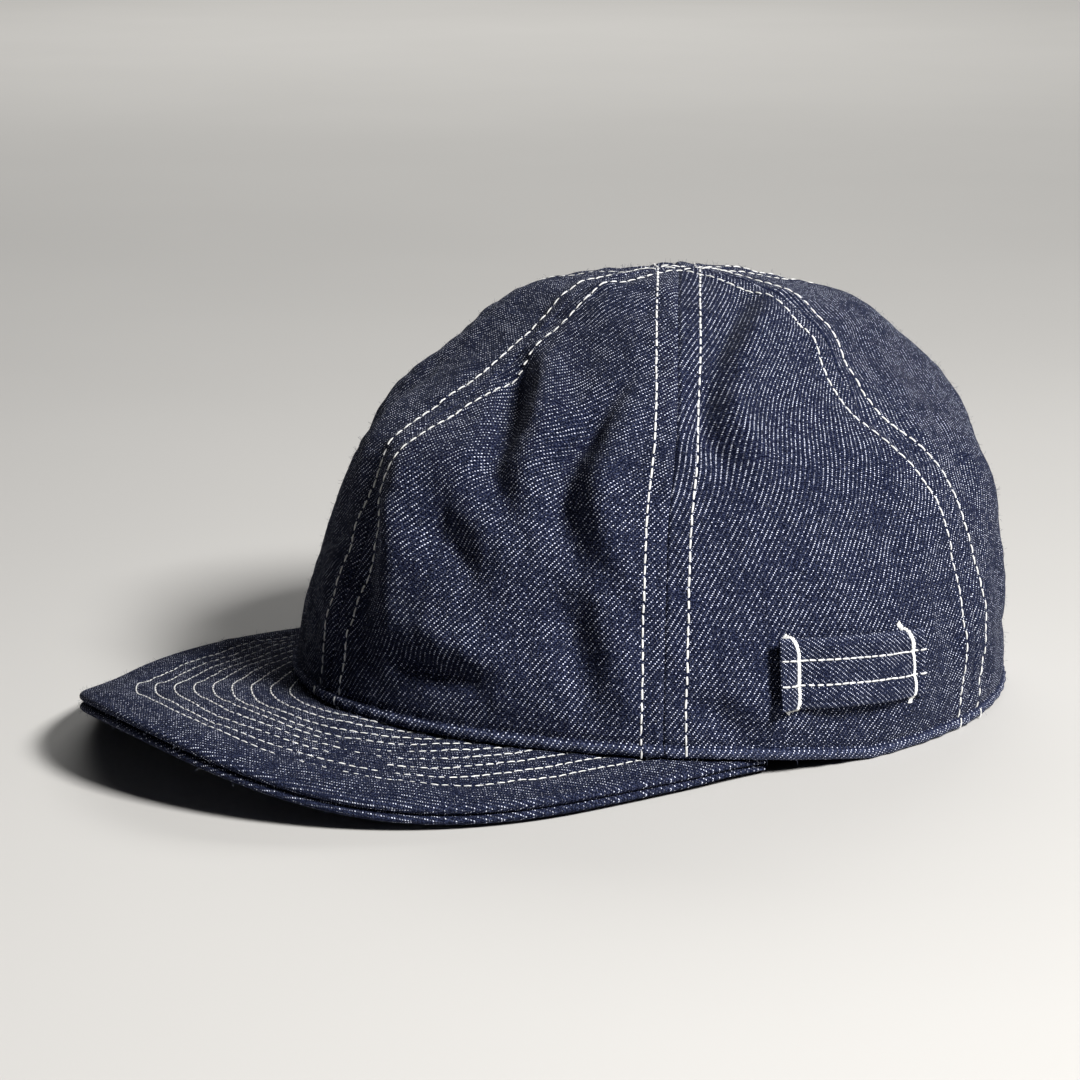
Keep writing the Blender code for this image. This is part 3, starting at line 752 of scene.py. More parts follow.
def make_loop(crown, sizes, materials):
    """The pencil loop: a folded strip, held down at its bar tacks and bowed between them."""
    along, across = np.meshgrid(np.linspace(0, 1, LOOP_COLUMNS + 1), denser_ends(LOOP_ROWS + 1, 0.6))
    lift = loop_lift(sizes, along)
    from_side = np.minimum(across, 1 - across) * sizes.width
    from_end = np.minimum(along, 1 - along) * sizes.length
    half = sizes.thickness / 2 * rolled(from_side, LOOP_ROLL, 0.02) * rolled(from_end, LOOP_ROLL, 0.02)
    rows = sum(hill((across - place) * sizes.width, 0.0007) for place in LOOP_ROW_PLACES)
    tacks = sum(hill((along - place) * sizes.length, 0.0010) for place in TACK_PLACES)
    puff = LOOP_PUFF * np.sin(np.pi * np.clip(from_side / 0.0055, 0, 1)) - STITCH_DRAW * rows - TACK_DRAW * tacks
    flat = loop_surface(crown, sizes, along, across, lift)
    noise = 0.00018 * soft_noise(flat, 0.008, 41)
    middle = lift + sizes.thickness / 2
    outer = loop_surface(crown, sizes, along, across, middle + half + puff + noise)
    inner = loop_surface(crown, sizes, along, across, middle - half)
    weave = 1.3 * np.stack([-across * sizes.width + 0.3, along * sizes.length + 0.3], -1)
    wear = 0.45 * hill(from_side, 0.0008) + 0.30 * hill(from_end, 0.0008)
    mesh = shell_mesh("loop_strip", outer, inner, weave, weave, wear)
    return finish_mesh("loop_strip", mesh, materials, ["pencil_loop"])


# Node trees written as expressions

class Wire:
    """A socket of a node tree; arithmetic on it adds Math nodes."""

    def __init__(self, graph, socket):
        self.graph = graph
        self.socket = socket

    def maths(self, operation, *values):
        return self.graph.node("ShaderNodeMath", {"operation": operation}, list(values)).out()

    def __add__(self, other):
        return self.maths("ADD", self, other)

    def __sub__(self, other):
        return self.maths("SUBTRACT", self, other)

    def __rsub__(self, other):
        return self.maths("SUBTRACT", other, self)

    def __mul__(self, other):
        return self.maths("MULTIPLY", self, other)

    def __truediv__(self, other):
        return self.maths("DIVIDE", self, other)

    __radd__ = __add__
    __rmul__ = __mul__

    def floor(self):
        return self.maths("FLOOR", self)

    def wrap(self, size):
        return self.maths("FLOORED_MODULO", self, size)

    def below(self, other):
        return self.maths("LESS_THAN", self, other)

    def power(self, other):
        return self.maths("POWER", self, other)

    def rise(self, low, high, start=0.0, end=1.0):
        """A smooth rise from start to end as the value goes from low to high."""
        settings = {"interpolation_type": "SMOOTHSTEP"}
        values = {"Value": self, "From Min": low, "From Max": high, "To Min": start, "To Max": end}
        return self.graph.node("ShaderNodeMapRange", settings, values).out()


class Step:
    """A node of a tree."""

    def __init__(self, graph, node):
        self.graph = graph
        self.node = node

    def out(self, name=None):
        """A wire from one of the node's enabled outputs, the first if none is named."""
        sockets = [s for s in self.node.outputs if s.enabled and (name is None or s.name == name)]
        return Wire(self.graph, sockets[0])


class Graph:
    """A node tree that is being written."""

    def __init__(self, tree):
        self.tree = tree
        tree.nodes.clear()

    def node(self, kind, settings=None, values=None):
        """Adds a node: its settings first, then its sockets by name or in order."""
        node = self.tree.nodes.new(kind)
        for key, value in (settings or {}).items():
            setattr(node, key, value)
        if isinstance(values, dict):
            pairs = [(self.socket(node, name), value) for name, value in values.items()]
        else:
            pairs = list(zip([s for s in node.inputs if s.enabled], values or []))
        for socket, value in pairs:
            if isinstance(value, Wire):
                self.tree.links.new(value.socket, socket)
            else:
                socket.default_value = value
        return Step(self, node)

    @staticmethod
    def socket(node, name):
        """An enabled input by its name."""
        return next(s for s in node.inputs if s.enabled and s.name == name)

    def mix(self, factor, first, second):
        """Two colours, mixed."""
        settings = {"data_type": "RGBA", "clamp_factor": True}
        return self.node("ShaderNodeMix", settings, {"Factor": factor, "A": first, "B": second}).out("Result")

    def surface(self, shader, values, output="ShaderNodeOutputMaterial"):
        """Ends a shader tree with one shader."""
        self.node(output, None, {"Surface": self.node(shader, None, values).out()})

    def bump(self, height, strength, distance):
        values = {"Strength": strength, "Distance": distance, "Height": height}
        return self.node("ShaderNodeBump", None, values).out()

    def vector(self, x, y, z=0.0):
        return self.node("ShaderNodeCombineXYZ", None, [x, y, z]).out()

    def lot(self, dimensions, values):
        """A number between 0 and 1, drawn by lot for each place."""
        return self.node("ShaderNodeTexWhiteNoise", {"noise_dimensions": dimensions}, values).out("Value")

    def noise(self, vector, scale, detail=2.0, rough=0.5):
        values = {"Vector": vector, "Scale": scale, "Detail": detail, "Roughness": rough}
        return self.node("ShaderNodeTexNoise", None, values).out()


def new_material(name):
    """A material with an empty node tree."""
    material = bpy.data.materials.new(name)
    material.use_nodes = True
    return material, Graph(material.node_tree)


def rgba(values, strength=1.0):
    """A colour with full alpha."""
    return (*[value * strength for value in values], 1.0)


# Materials

WARP_PITCH = 0.00036
WEFT_PITCH = 0.00050


def denim(name, warp, weft, worn, fleck=1.0, sheen=0.03, back=False):
    """Right-hand three-by-one twill: indigo warp yarns with a pale weft fleck at every fourth crossing."""
    material, graph = new_material(name)

    # Each point's place in the weave, with yarns that sway and vary in width
    place = graph.node("ShaderNodeUVMap", {"uv_map": "weave"}).out()
    split = graph.node("ShaderNodeSeparateXYZ", None, [place])
    sway = graph.noise(place, 60.0, 2.0)
    slub = graph.noise(place, 620.0, 2.0)
    across = split.out("X") / WARP_PITCH + (sway - 0.5) * 0.9 + (slub - 0.5) * 0.8
    upward = split.out("Y") / WEFT_PITCH + (slub - 0.5) * 0.8
    yarn, pick = across.floor(), upward.floor()
    side, rise = across - yarn, upward - pick
    phase = (yarn - pick).wrap(4.0)
    crossing = phase.below(0.5)
    if back:
        crossing = 1.0 - crossing

    # Round flecks of uneven brightness, in patches and with gaps
    off_side = (side - 0.5) * (side - 0.5) * 3.8
    off_rise = (rise - 0.5) * (rise - 0.5) * 11.0
    dome = (1.06 - off_side - off_rise).rise(0.05, 0.75)
    lot = graph.lot("2D", {"Vector": graph.vector(yarn, pick)})
    strand = graph.lot("1D", {"W": yarn})
    patches = graph.noise(place, 85.0, 3.0, 0.6).rise(0.36, 0.60, 0.25, 1.0)
    gaps = graph.noise(place, 420.0, 2.0, 0.6).rise(0.40, 0.58, 0.35, 1.15)
    wear = graph.node("ShaderNodeAttribute", {"attribute_name": "wear"}).out("Fac")
    bright = (lot.power(3.0) * 6.0 + 0.18) * (patches * gaps + wear) * fleck
    shown = crossing * dome * bright

    # The indigo ground under them, with paler nap over it, darker towards the edges of each yarn as painted shade
    # between the yarns
    nap = graph.noise(place, 1500.0, 2.0, 0.7)
    ground = (0.70 + strand * 0.45 + (nap - 0.5) * 0.9) * (0.75 + dome * 0.45)
    indigo = graph.mix(ground * 0.5, (0.0, 0.0, 0.0, 1.0), rgba(warp, 2.0))
    grain = graph.noise(place, 2100.0, 3.0, 0.8)
    grey = grain.rise(0.50, 0.63, 0.0, 0.70)
    base = graph.mix(grey, indigo, rgba(worn, 0.85))
    worn_noise = graph.noise(place, 2300.0, 3.0, 0.8).rise(0.44, 0.62)
    faded = graph.mix(wear * worn_noise * 0.7, base, rgba(worn))
    fleck_tone = graph.mix(shown, faded, rgba(weft))

    height = dome * 0.55 + (1.0 - crossing) * 0.45 + nap * 0.4 + grain * 0.5
    values = {
        "Base Color": fleck_tone,
        "Roughness": 0.92,
        "Specular IOR Level": 0.05,
        "Sheen Weight": sheen,
        "Sheen Roughness": 0.45,
        "Sheen Tint": (0.55, 0.62, 0.85, 1.0),
        "Normal": graph.bump(height, 0.55, 0.00030),
    }
    graph.surface("ShaderNodeBsdfPrincipled", values)
    return material


def thread_material(colours):
    """Off-white cotton thread, a little uneven."""
    material, graph = new_material("white_thread")
    place = graph.node("ShaderNodeTexCoord").out("Object")
    tone = graph.noise(place, 900.0, 2.0)
    ply = graph.noise(place, 3500.0, 2.0)
    base = graph.mix(tone.rise(0.30, 0.70), rgba(colours.thread, 0.74), rgba(colours.thread, 1.05))
    values = {
        "Base Color": base,
        "Roughness": 0.80,
        "Specular IOR Level": 0.30,
        "Sheen Weight": 0.15,
        "Normal": graph.bump(ply, 0.5, 0.0001),
    }
    graph.surface("ShaderNodeBsdfPrincipled", values)
    return material


# Stitches and loose fibres by Geometry Nodes

# The least and most that stitches and fibres are leant, in radians, and scaled
STITCH_LEAN = ((-0.03, -0.03, -0.07), (0.03, 0.03, 0.07))
STITCH_SCALE = ((0.92, 0.90, 0.55), (1.06, 1.10, 0.75))
FIBRE_LEAN = ((-1.15, -1.15, -3.14), (1.15, 1.15, 3.14))
FIBRE_SCALE = (0.45, 1.35)


class BuildGraph(Graph):
    """A Geometry Nodes tree that sets many copies of one shape, all of one material."""

    def __init__(self, name, source, lengths, material):
        super().__init__(bpy.data.node_groups.new(name, "GeometryNodeTree"))
        self.material = material
        self.sockets = {}
        inputs = [(source, "Geometry"), *((key, "Float") for key in lengths), ("Seed", "Int")]
        for key, kind in inputs:
            socket = self.tree.interface.new_socket(key, in_out="INPUT", socket_type="NodeSocket" + kind)
            self.sockets[key] = socket.identifier
        self.tree.interface.new_socket("Built", in_out="OUTPUT", socket_type="NodeSocketGeometry")
        self.given = self.node("NodeGroupInput")

    def random(self, low, high, seed, kind="FLOAT_VECTOR"):
        values = {"Min": low, "Max": high, "Seed": seed}
        return self.node("FunctionNodeRandomValue", {"data_type": kind}, values).out()

    def turn(self, rotation, by):
        """A rotation, turned further about its own axes."""
        return self.node("FunctionNodeRotateRotation", {"rotation_space": "LOCAL"}, [rotation, by]).out()

    def bow(self, resolution, start, middle, end):
        """A curve that bows from its start to its end."""
        values = {"Resolution": resolution}
        values.update({key: self.vector(*spot) for key, spot in (("Start", start), ("Middle", middle), ("End", end))})
        return self.node("GeometryNodeCurveQuadraticBezier", None, values).out()

    def tube(self, curve, sides, thickness):
        """A closed tube along a curve."""
        ring = self.node("GeometryNodeCurvePrimitiveCircle", None, {"Resolution": sides, "Radius": thickness * 0.5})
        values = {"Curve": curve, "Profile Curve": ring.out(), "Fill Caps": True}
        return self.node("GeometryNodeCurveToMesh", None, values).out()

    def build(self, points, shape, rotation, scale):
        """Sets the shape on every point, as real faces, and ends the tree."""
        values = {"Points": points, "Instance": shape, "Rotation": rotation, "Scale": scale}
        placed = self.node("GeometryNodeInstanceOnPoints", None, values).out()
        real = self.node("GeometryNodeRealizeInstances", None, [placed]).out()
        dyed = self.node("GeometryNodeSetMaterial", None, {"Geometry": real, "Material": self.material}).out()
        self.node("NodeGroupOutput", None, [dyed])
        return self


def stitch_tree(material):
    """A tree that turns guide lines into rows of stitches."""
    names = ("Pitch", "Stitch length", "Thread thickness", "Rise", "Turned", "Looseness")
    graph = BuildGraph("stitch_rows", "Guides", names, material)
    given = graph.given
    size, rise = given.out("Stitch length"), given.out("Rise")
    line = graph.node("GeometryNodeMeshToCurve", None, [given.out("Guides")]).out()
    spaced = graph.node("GeometryNodeResampleCurve", {"mode": "LENGTH"}, {"Curve": line, "Length": given.out("Pitch")})
    tangent = graph.node("GeometryNodeInputTangent").out()
    outward = graph.node("GeometryNodeInputNamedAttribute", {"data_type": "FLOAT_VECTOR"}, {"Name": "outward"}).out()
    sideways = graph.node("ShaderNodeVectorMath", {"operation": "CROSS_PRODUCT"}, [tangent, outward]).out()
    ways = {"Factor": given.out("Turned"), "A": tangent, "B": sideways}
    turned = graph.node("ShaderNodeMix", {"data_type": "VECTOR"}, ways).out("Result")
    axes = {"primary_axis": "Z", "secondary_axis": "X"}
    facing = graph.node("FunctionNodeAxesToRotation", axes, [outward, turned]).out()
    jitter = graph.random(*STITCH_LEAN, given.out("Seed"))
    jitter = graph.node("ShaderNodeVectorMath", {"operation": "SCALE"},
                        {"Vector": jitter, "Scale": given.out("Looseness")}).out()
    scale = graph.random(*STITCH_SCALE, given.out("Seed") + 7)
    half = size * 0.5
    arc = graph.bow(6, (half * -1.0, 0.0, rise * -0.8), (0.0, 0.0, rise * 2.2), (half, 0.0, rise * -0.8))
    factor = graph.node("GeometryNodeSplineParameter").out("Factor")
    swell = (factor * (1.0 - factor) * 4.0).power(0.35)
    sized = graph.node("GeometryNodeSetCurveRadius", None, {"Curve": arc, "Radius": swell * 0.75 + 0.25}).out()
    tube = graph.tube(sized, 6, given.out("Thread thickness"))
    smooth = graph.node("GeometryNodeSetShadeSmooth", None, [tube]).out()
    return graph.build(spaced.out(), smooth, graph.turn(facing, jitter), scale)


def fuzz_tree(material):
    """A tree that scatters short bent fibres over a surface."""
    graph = BuildGraph("fuzz", "Cloth", ("Density", "Fibre length", "Fibre thickness"), material)
    given = graph.given
    size, seed = given.out("Fibre length"), given.out("Seed")
    spread = graph.node("GeometryNodeDistributePointsOnFaces", None,
                        {"Mesh": given.out("Cloth"), "Density": given.out("Density"), "Seed": seed})
    lean = graph.random(*FIBRE_LEAN, seed + 1)
    scale = graph.random(*FIBRE_SCALE, seed + 2, "FLOAT")
    bent = graph.bow(3, (0.0, 0.0, size * -0.1), (size * 0.05, 0.0, size * 0.6), (size * 0.5, 0.0, size * 0.75))
    tube = graph.tube(bent, 3, given.out("Fibre thickness"))
    return graph.build(spread.out("Points"), tube, graph.turn(spread.out("Rotation"), lean), scale)


def joined(names, keep):
    """The points of the named pieces and those of their faces that are kept."""
    points, faces = [], []
    for name in names:
        mesh = bpy.data.objects[name].data
        start = len(points)
        points += [vertex.co[:] for vertex in mesh.vertices]
        faces += [[k + start for k in face.vertices] for face in mesh.polygons if keep(face)]
    return points, faces


def grow_fuzz(name, cloths, values, material):
    """Scatters fibres over the outer faces of the named cloths and keeps them as a plain mesh."""
    points, faces = joined(cloths, lambda face: face.material_index == 0 and
                           (face.normal.z > -0.3 or face.center.z > 0.003))
    mesh = bpy.data.meshes.new(name)
    mesh.from_pydata(points, [], faces)
    return evaluate(new_object(name + "_guide", mesh), name, fuzz_tree(material), values)


StitchRow = namedtuple("StitchRow", "points outward")


def guide_object(name, rows):
    """Guide lines as edges, each point with its outward direction."""
    points = np.concatenate([row.points for row in rows])
    outward = np.concatenate([row.outward for row in rows])
    edges, start = [], 0
    for row in rows:
        edges += [(k, k + 1) for k in range(start, start + len(row.points) - 1)]
        start += len(row.points)
    mesh = bpy.data.meshes.new(name)
    mesh.from_pydata(points.tolist(), edges, [])
    layer = mesh.attributes.new("outward", "FLOAT_VECTOR", "POINT")
    layer.data.foreach_set("vector", outward.astype(np.float32).ravel())
    return new_object(name, mesh)


def evaluate(guide, name, graph, values):
    """Runs a tree over a guide object and keeps its result as a plain mesh."""
    modifier = guide.modifiers.new("build", "NODES")
    modifier.node_group = graph.tree
    for key, value in values.items():
        modifier[graph.sockets[key]] = value
    evaluated = guide.evaluated_get(bpy.context.evaluated_depsgraph_get())
    mesh = bpy.data.meshes.new_from_object(evaluated)
    mesh.name = name
    guide.modifiers.remove(modifier)
    bpy.data.objects.remove(guide, do_unlink=True)
    if "outward" in mesh.attributes:
        mesh.attributes.remove(mesh.attributes["outward"])
    mesh.materials.clear()
    return finish_mesh(name, mesh, [graph.material], [])


def sew(name, rows, values, material):
    """Sews rows of stitches along guide lines."""
    return evaluate(guide_object(name + "_guides", rows), name, stitch_tree(material), values)


def surface_tree(names):
    """A search tree over the named pieces' faces, for laying things on them."""
    return BVHTree.FromPolygons(*joined(names, lambda face: True))


def lay_on(tree, points, normals):
    """Lays a line of points on a surface, seen from outside; points that miss it are left out."""
    kept, outward = [], []
    for point, normal in zip(points, normals):
        ray = Vector(normal).normalized()
        spot = tree.ray_cast(Vector(point) + ray * 0.012, -ray, 0.030)[0]
        if spot is not None:
            kept.append(spot)
            outward.append(ray)
    return StitchRow(np.array(kept), np.array(outward))


def even_line(points, step):
    """A line with its points at an even step, so that stitches come out alike."""
    run = arc_lengths(points, 0)
    count = max(int(run[-1] / step), 2)
    spots = np.linspace(0, run[-1], count + 1)
    return np.stack([np.interp(spots, run, points[:, k]) for k in range(points.shape[1])], -1)


def blurred(values, reach):
    """A line of values, each made the mean of its neighbours, with its ends kept."""
    kernel = np.ones(2 * reach + 1) / (2 * reach + 1)
    padded = np.pad(values, ((reach, reach), (0, 0)), mode="reflect", reflect_type="odd")
    return np.stack([np.convolve(padded[:, k], kernel, "valid") for k in range(values.shape[1])], -1)


def smooth_outward(row, reach=3):
    """Evens out a row's places and directions over its neighbours."""
    return StitchRow(blurred(row.points, 1), direction(blurred(row.outward, reach)))


def seam_line(form, place):
    """A seam's line from the hem to the top, with the crown's normals, in the frame."""
    climbs = np.linspace(0.015, 0.9995, 260)
    turns = form.seam(place, climbs)
    return form.dome(turns, climbs) - BOX_CENTRE, form.normal(turns, climbs)


def crown_rows(form, tree):
    """The topstitch rows along the seams: two for each, and the middle seam's run over the top."""
    rows = []
    offset = form.sizes.row_offset
    over, over_normals = (np.concatenate([front, back[::-1]])
                          for front, back in zip(seam_line(form, 0), seam_line(form, 3)))
    for side in (-1, 1):
        rows.append(lay_on(tree, over + np.array([side * offset, 0, 0]), over_normals))
    for place in (1, 2, -1, -2):
        line, normals = seam_line(form, place)
        sideways = direction(np.cross(normals, np.gradient(line, axis=0)))
        for side in (-1, 1):
            shifted = line + side * offset * sideways
            outside = np.sign(place) * (shifted[:, 0] + BOX_CENTRE[0]) > -offset * 0.9
            rows.append(lay_on(tree, shifted[outside], normals[outside]))
    return [smooth_outward(row) for row in rows]


def peak_rows(form, tree, upper_side):
    """The peak's stitch rows, parallel to its edge, ending under the hem."""
    along = np.linspace(-1, 1, 900)
    line = form.outline(along)
    ahead = direction(np.gradient(line, axis=0))
    inward = np.stack([-ahead[:, 1], ahead[:, 0]], -1)
    inward *= np.where((inward * -line).sum(-1, keepdims=True) > 0, 1, -1)
    facing = Vector((0.0, 0.0, 1.0 if upper_side else -1.0))
    crown = form.crown.sizes
    rows = []
    for distance in form.row_distances():
        reach = distance + form.row_draw(along)
        points = line + reach[:, None] * inward
        clear = nearest_on_line(points, line[::4])[0] > reach - LINE_CLEAR
        outside = (points[:, 0] / (crown.width / 2)) ** 2 + (points[:, 1] / crown.front_reach) ** 2 > 0.98
        kept = points[clear & outside & (points[:, 1] < -0.5 * crown.front_reach * np.cos(form.sizes.end_turn))]
        if len(kept) < 4:
            continue
        kept = even_line(kept, LINE_STEP)
        kept = even_line(blurred(kept, min(ROW_ROUNDING, len(kept) // 3)), LINE_STEP)
        flat = np.concatenate([kept, np.zeros((len(kept), 1))], -1) - BOX_CENTRE
        flat[:, 2] = 0.008
        round_front = np.arctan2(kept[:, 0], -kept[:, 1] - crown.front_reach * 0.5)
        worn = form.sizes.buried * hill(round_front - WORN_MIDDLE, WORN_SPREAD)
        buried = worn * smooth_step((0.045 - distance) / 0.02) * (1 + 0.4 * soft_noise(flat, 0.005, 51))
        row = lay_on_flat(tree, flat, facing, buried)
        if len(row.points) > 3:
            rows.append(smooth_outward(row))
    return rows


def lay_on_flat(tree, points, facing, buried):
    """Lays a line on the peak from straight above or below, some of it buried in the nap."""
    kept, outward = [], []
    for point, depth in zip(points, buried):
        spot, normal, _, _ = tree.ray_cast(Vector(point) + facing * 0.05, -facing, 0.1)
        if spot is not None:
            kept.append(spot - facing * depth)
            outward.append(normal if normal.dot(facing) > 0 else facing)
    return StitchRow(np.array(kept), np.array(outward))


def loop_line(crown, sizes, along, across, tree):
    """A line over the loop and the crown beside it."""
    base = loop_surface(crown, sizes, along, across, np.zeros_like(along)) - BOX_CENTRE
    up = loop_surface(crown, sizes, along, across, np.full_like(along, 0.01)) - BOX_CENTRE
    return smooth_outward(lay_on(tree, base, direction(up - base)), 2)


# Operators

def cap_settings(context):
    """The cap's settings in this scene."""
    scene = context.scene
    return scene.cap_crown, scene.cap_peak, scene.cap_loop, scene.cap_thread, scene.cap_colours


def cloth_materials(colours):
    """The cap's cloths, made once."""
    found = bpy.data.materials.get("crown_twill")
    if found is None:
        denim("crown_twill", colours.warp, colours.weft, colours.worn)
        denim("inside_twill", colours.warp, colours.weft, colours.worn, 0.55, 0.02, back=True)
        # The peak's cloth is the crown's denim with darker warp and about half the flecks, partly as painted shade on
        # the level peak
        denim("peak_shaded_twill", colours.peak_shaded_warp, colours.weft, colours.worn, 0.52, 0.0)
        denim("loop_twill", colours.warp, colours.weft, colours.worn, 1.1)
    names = ("crown_twill", "inside_twill", "peak_shaded_twill", "loop_twill")
    return {name: bpy.data.materials[name] for name in names}


def fibre_material(colours):
    """Loose cotton fibres, some white and most indigo."""
    material, graph = new_material("loose_fibres")
    place = graph.node("ShaderNodeTexCoord").out("Object")
    tone = graph.noise(place, 1400.0, 1.0).rise(0.45, 0.70)
    base = graph.mix(tone, rgba(colours.worn, 0.4), rgba(colours.weft, 0.40))
    graph.surface("ShaderNodeBsdfPrincipled", {"Base Color": base, "Roughness": 0.9})
    return material


def thread(colours):
    """The sewing thread's material, made once."""
    return bpy.data.materials.get("white_thread") or thread_material(colours)


class CAP_OT_crown(bpy.types.Operator):
    """Make the crown's six folded panels"""

    bl_idname = "cap.crown"
    bl_label = "Crown panels"

    def execute(self, context):
        crown, _, _, _, colours = cap_settings(context)
        cloths = cloth_materials(colours)
        form = CrownForm(crown)
        for panel in PANELS:
            make_panel(form, panel, [cloths["crown_twill"], cloths["inside_twill"]])
        return {"FINISHED"}


class CAP_OT_peak(bpy.types.Operator):
    """Make the peak's two quilted covers"""

    bl_idname = "cap.peak"
    bl_label = "Peak covers"

    def execute(self, context):
        crown, peak, _, _, colours = cap_settings(context)
        cloth = cloth_materials(colours)["peak_shaded_twill"]
        form = PeakForm(peak, CrownForm(crown))
        make_cover(form, "peak_upper_cover", True, [cloth], "peak_top")
        make_cover(form, "peak_lower_cover", False, [cloth], "peak_under")
        return {"FINISHED"}


class CAP_OT_loop(bpy.types.Operator):
    """Make the pencil loop on the left side panel"""

    bl_idname = "cap.loop"
    bl_label = "Pencil loop"

    def execute(self, context):
        crown, _, loop, _, colours = cap_settings(context)
        make_loop(CrownForm(crown), loop, [cloth_materials(colours)["loop_twill"]])
        return {"FINISHED"}


class CAP_OT_stitches(bpy.types.Operator):
    """Sew the rows of stitches and the bar tacks"""

    bl_idname = "cap.stitches"
    bl_label = "Stitches"

    def execute(self, context):
        crown_sizes, peak_sizes, loop_sizes, sizes, colours = cap_settings(context)
        material = thread(colours)
        crown = CrownForm(crown_sizes)
        peak = PeakForm(peak_sizes, crown)
        values = {"Pitch": sizes.seam_pitch, "Stitch length": sizes.seam_pitch * 0.78, "Turned": 0.0,
                  "Thread thickness": sizes.thickness, "Rise": sizes.thickness * 0.42, "Seed": 3, "Looseness": 1.0}
        tree = surface_tree([panel.name for panel in PANELS])
        sew("seam_stitches", crown_rows(crown, tree), values, material)

        values.update({"Pitch": sizes.peak_pitch, "Stitch length": sizes.peak_pitch * 0.74, "Seed": 5,
                       "Thread thickness": sizes.thickness * 0.70, "Rise": sizes.thickness * 0.30})
        rows = []
        for name, upper_side in (("peak_upper_cover", True), ("peak_lower_cover", False)):
            rows += peak_rows(peak, surface_tree([name]), upper_side)
        sew("peak_stitches", rows, values, material)

        tree = surface_tree(["loop_strip", "crown_side_left"])
        along = np.linspace(0.03, 0.985, 120)
        rows = [loop_line(crown, loop_sizes, along, np.full_like(along, place), tree) for place in LOOP_ROW_PLACES]
        values.update({"Pitch": sizes.loop_pitch, "Stitch length": sizes.loop_pitch * 0.86, "Seed": 9,
                       "Thread thickness": sizes.thickness * 0.85})
        sew("loop_stitches", rows, values, material)

        rows = []
        for place, course in zip(TACK_PLACES, TACK_COURSES):
            course = smooth_line(course, 60)
            rows.append(loop_line(crown, loop_sizes, place + course[:, 1], course[:, 0], tree))
        values.update({"Pitch": sizes.tack_pitch, "Stitch length": sizes.tack_width, "Seed": 15,
                       "Thread thickness": sizes.thickness * 0.75, "Rise": sizes.thickness * 0.5,
                       "Turned": 1.0, "Looseness": 4.0})
        sew("loop_bar_tacks", rows, values, material)
        return {"FINISHED"}


class CAP_OT_fuzz(bpy.types.Operator):
    """Grow the cloth's loose fibres"""

    bl_idname = "cap.fuzz"
    bl_label = "Fuzz"

    def execute(self, context):
        _, _, _, sizes, colours = cap_settings(context)
        material = fibre_material(colours)
        values = {"Density": sizes.fuzz_density, "Fibre length": sizes.fuzz_length,
                  "Fibre thickness": sizes.fuzz_thickness, "Seed": 2}
        grow_fuzz("crown_fuzz", [panel.name for panel in PANELS], values, material)
        values["Seed"] = 6
        grow_fuzz("peak_fuzz", ["peak_upper_cover", "peak_lower_cover"], values, material)
        return {"FINISHED"}


class CAP_OT_stage(bpy.types.Operator):
    """Set up the floor, the light and the camera"""

    bl_idname = "cap.stage"
    bl_label = "Stage"

    def execute(self, context):
        colours = cap_settings(context)[4]
        make_floor(colours)
        for light in LIGHTS:
            add_light(light)
        world = bpy.data.worlds.new("studio")
        world.use_nodes = True
        glow = {"Color": (0.86, 0.90, 1.0, 1.0), "Strength": 0.022}
        Graph(world.node_tree).surface("ShaderNodeBackground", glow, "ShaderNodeOutputWorld")
        context.scene.world = world
        context.scene.view_settings.view_transform = "Standard"
        add_camera(context)
        return {"FINISHED"}


Light = namedtuple("Light", "name place aim size energy colour")
LIGHTS = (
    Light("key", (1.03, 0.33, 1.04), (0.0, 0.0, 0.05), 0.36, 40.0, (1.0, 0.99, 0.98)),
    Light("backdrop", (-2.4, 1.4, 1.9), (-2.6, 1.6, 0.0), 2.4, 60.0, (1.0, 0.99, 0.97)),
)
CAMERA_PLACE = (0.6443, -0.3996, 0.2329)
CAMERA_TARGET = (-0.0188, 0.0043, 0.0404)
CAMERA_LENS = 97.33
CAMERA_SENSOR = 36.0
FLOOR_REACH = 6.0


def make_floor(colours):
    """A plain pale floor."""
    mesh = bpy.data.meshes.new("floor")
    corners = ((-1, -1), (1, -1), (1, 1), (-1, 1))
    mesh.from_pydata([(FLOOR_REACH * x, FLOOR_REACH * y, 0) for x, y in corners], [], [(0, 1, 2, 3)])
    material, graph = new_material("pale_floor")
    place = graph.node("ShaderNodeTexCoord").out("Object")
    tone = graph.noise(place, 3.0, 3.0).rise(0.3, 0.7)
    base = graph.mix(tone, rgba(colours.floor, 0.97), rgba(colours.floor, 1.0))
    graph.surface("ShaderNodeBsdfPrincipled", {"Base Color": base, "Roughness": 0.65})
    mesh.materials.append(material)
    floor = new_object("floor", mesh)


def point_at(thing, place, target):
    """Sets a light or a camera at a place, looking at a target."""
    thing.location = place
    thing.rotation_euler = (Vector(target) - Vector(place)).to_track_quat("-Z", "Y").to_euler()


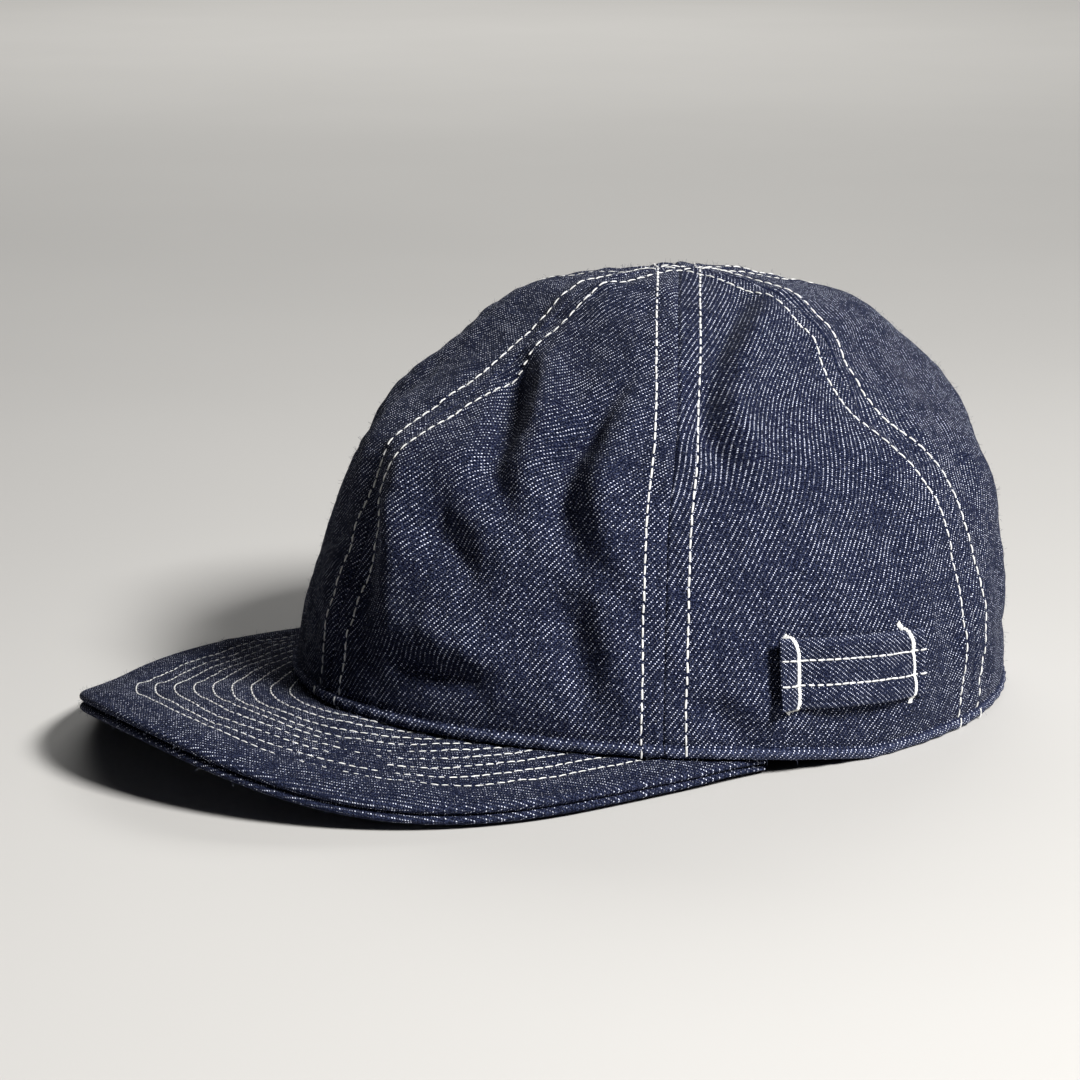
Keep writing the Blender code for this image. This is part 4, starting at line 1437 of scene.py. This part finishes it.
def add_light(light):
    """A soft square light that looks at the cap."""
    lamp = bpy.data.lights.new(light.name, "AREA")
    lamp.shape = "SQUARE"
    lamp.size = light.size
    lamp.energy = light.energy
    lamp.color = light.colour
    point_at(new_object(light.name, lamp), light.place, light.aim)


def add_camera(context):
    """The camera, at the photograph's viewing angle."""
    lens = bpy.data.cameras.new("camera")
    lens.lens = CAMERA_LENS
    lens.sensor_width = CAMERA_SENSOR
    lens.sensor_fit = "HORIZONTAL"
    camera = new_object("camera", lens)
    point_at(camera, CAMERA_PLACE, CAMERA_TARGET)
    context.scene.camera = camera


class CAP_PT_panel(bpy.types.Panel):
    """The cap's steps in the sidebar"""

    bl_idname = "CAP_PT_panel"
    bl_label = "Denim cap"
    bl_space_type = "VIEW_3D"
    bl_region_type = "UI"
    bl_category = "Cap"

    def draw(self, context):
        for operator in OPERATORS:
            self.layout.operator(operator.bl_idname)
        for name in SETTING_GROUPS:
            box = self.layout.box()
            group = getattr(context.scene, name)
            for key in group.__annotations__:
                box.prop(group, key)


SETTING_GROUPS = {
    "cap_crown": CrownSizes,
    "cap_peak": PeakSizes,
    "cap_loop": LoopSizes,
    "cap_thread": ThreadSizes,
    "cap_colours": CapColours,
}
OPERATORS = (CAP_OT_crown, CAP_OT_peak, CAP_OT_loop, CAP_OT_stitches, CAP_OT_fuzz, CAP_OT_stage)


def register():
    for name, group in SETTING_GROUPS.items():
        bpy.utils.register_class(group)
        setattr(bpy.types.Scene, name, PointerProperty(type=group))
    for shown in (*OPERATORS, CAP_PT_panel):
        bpy.utils.register_class(shown)


def unregister():
    for shown in (CAP_PT_panel, *reversed(OPERATORS)):
        bpy.utils.unregister_class(shown)
    for name, group in reversed(SETTING_GROUPS.items()):
        delattr(bpy.types.Scene, name)
        bpy.utils.unregister_class(group)


def main():
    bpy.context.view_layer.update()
    register()
    for operator in OPERATORS:
        section, name = operator.bl_idname.split(".")
        getattr(getattr(bpy.ops, section), name)()


if __name__ == "__main__":
    main()
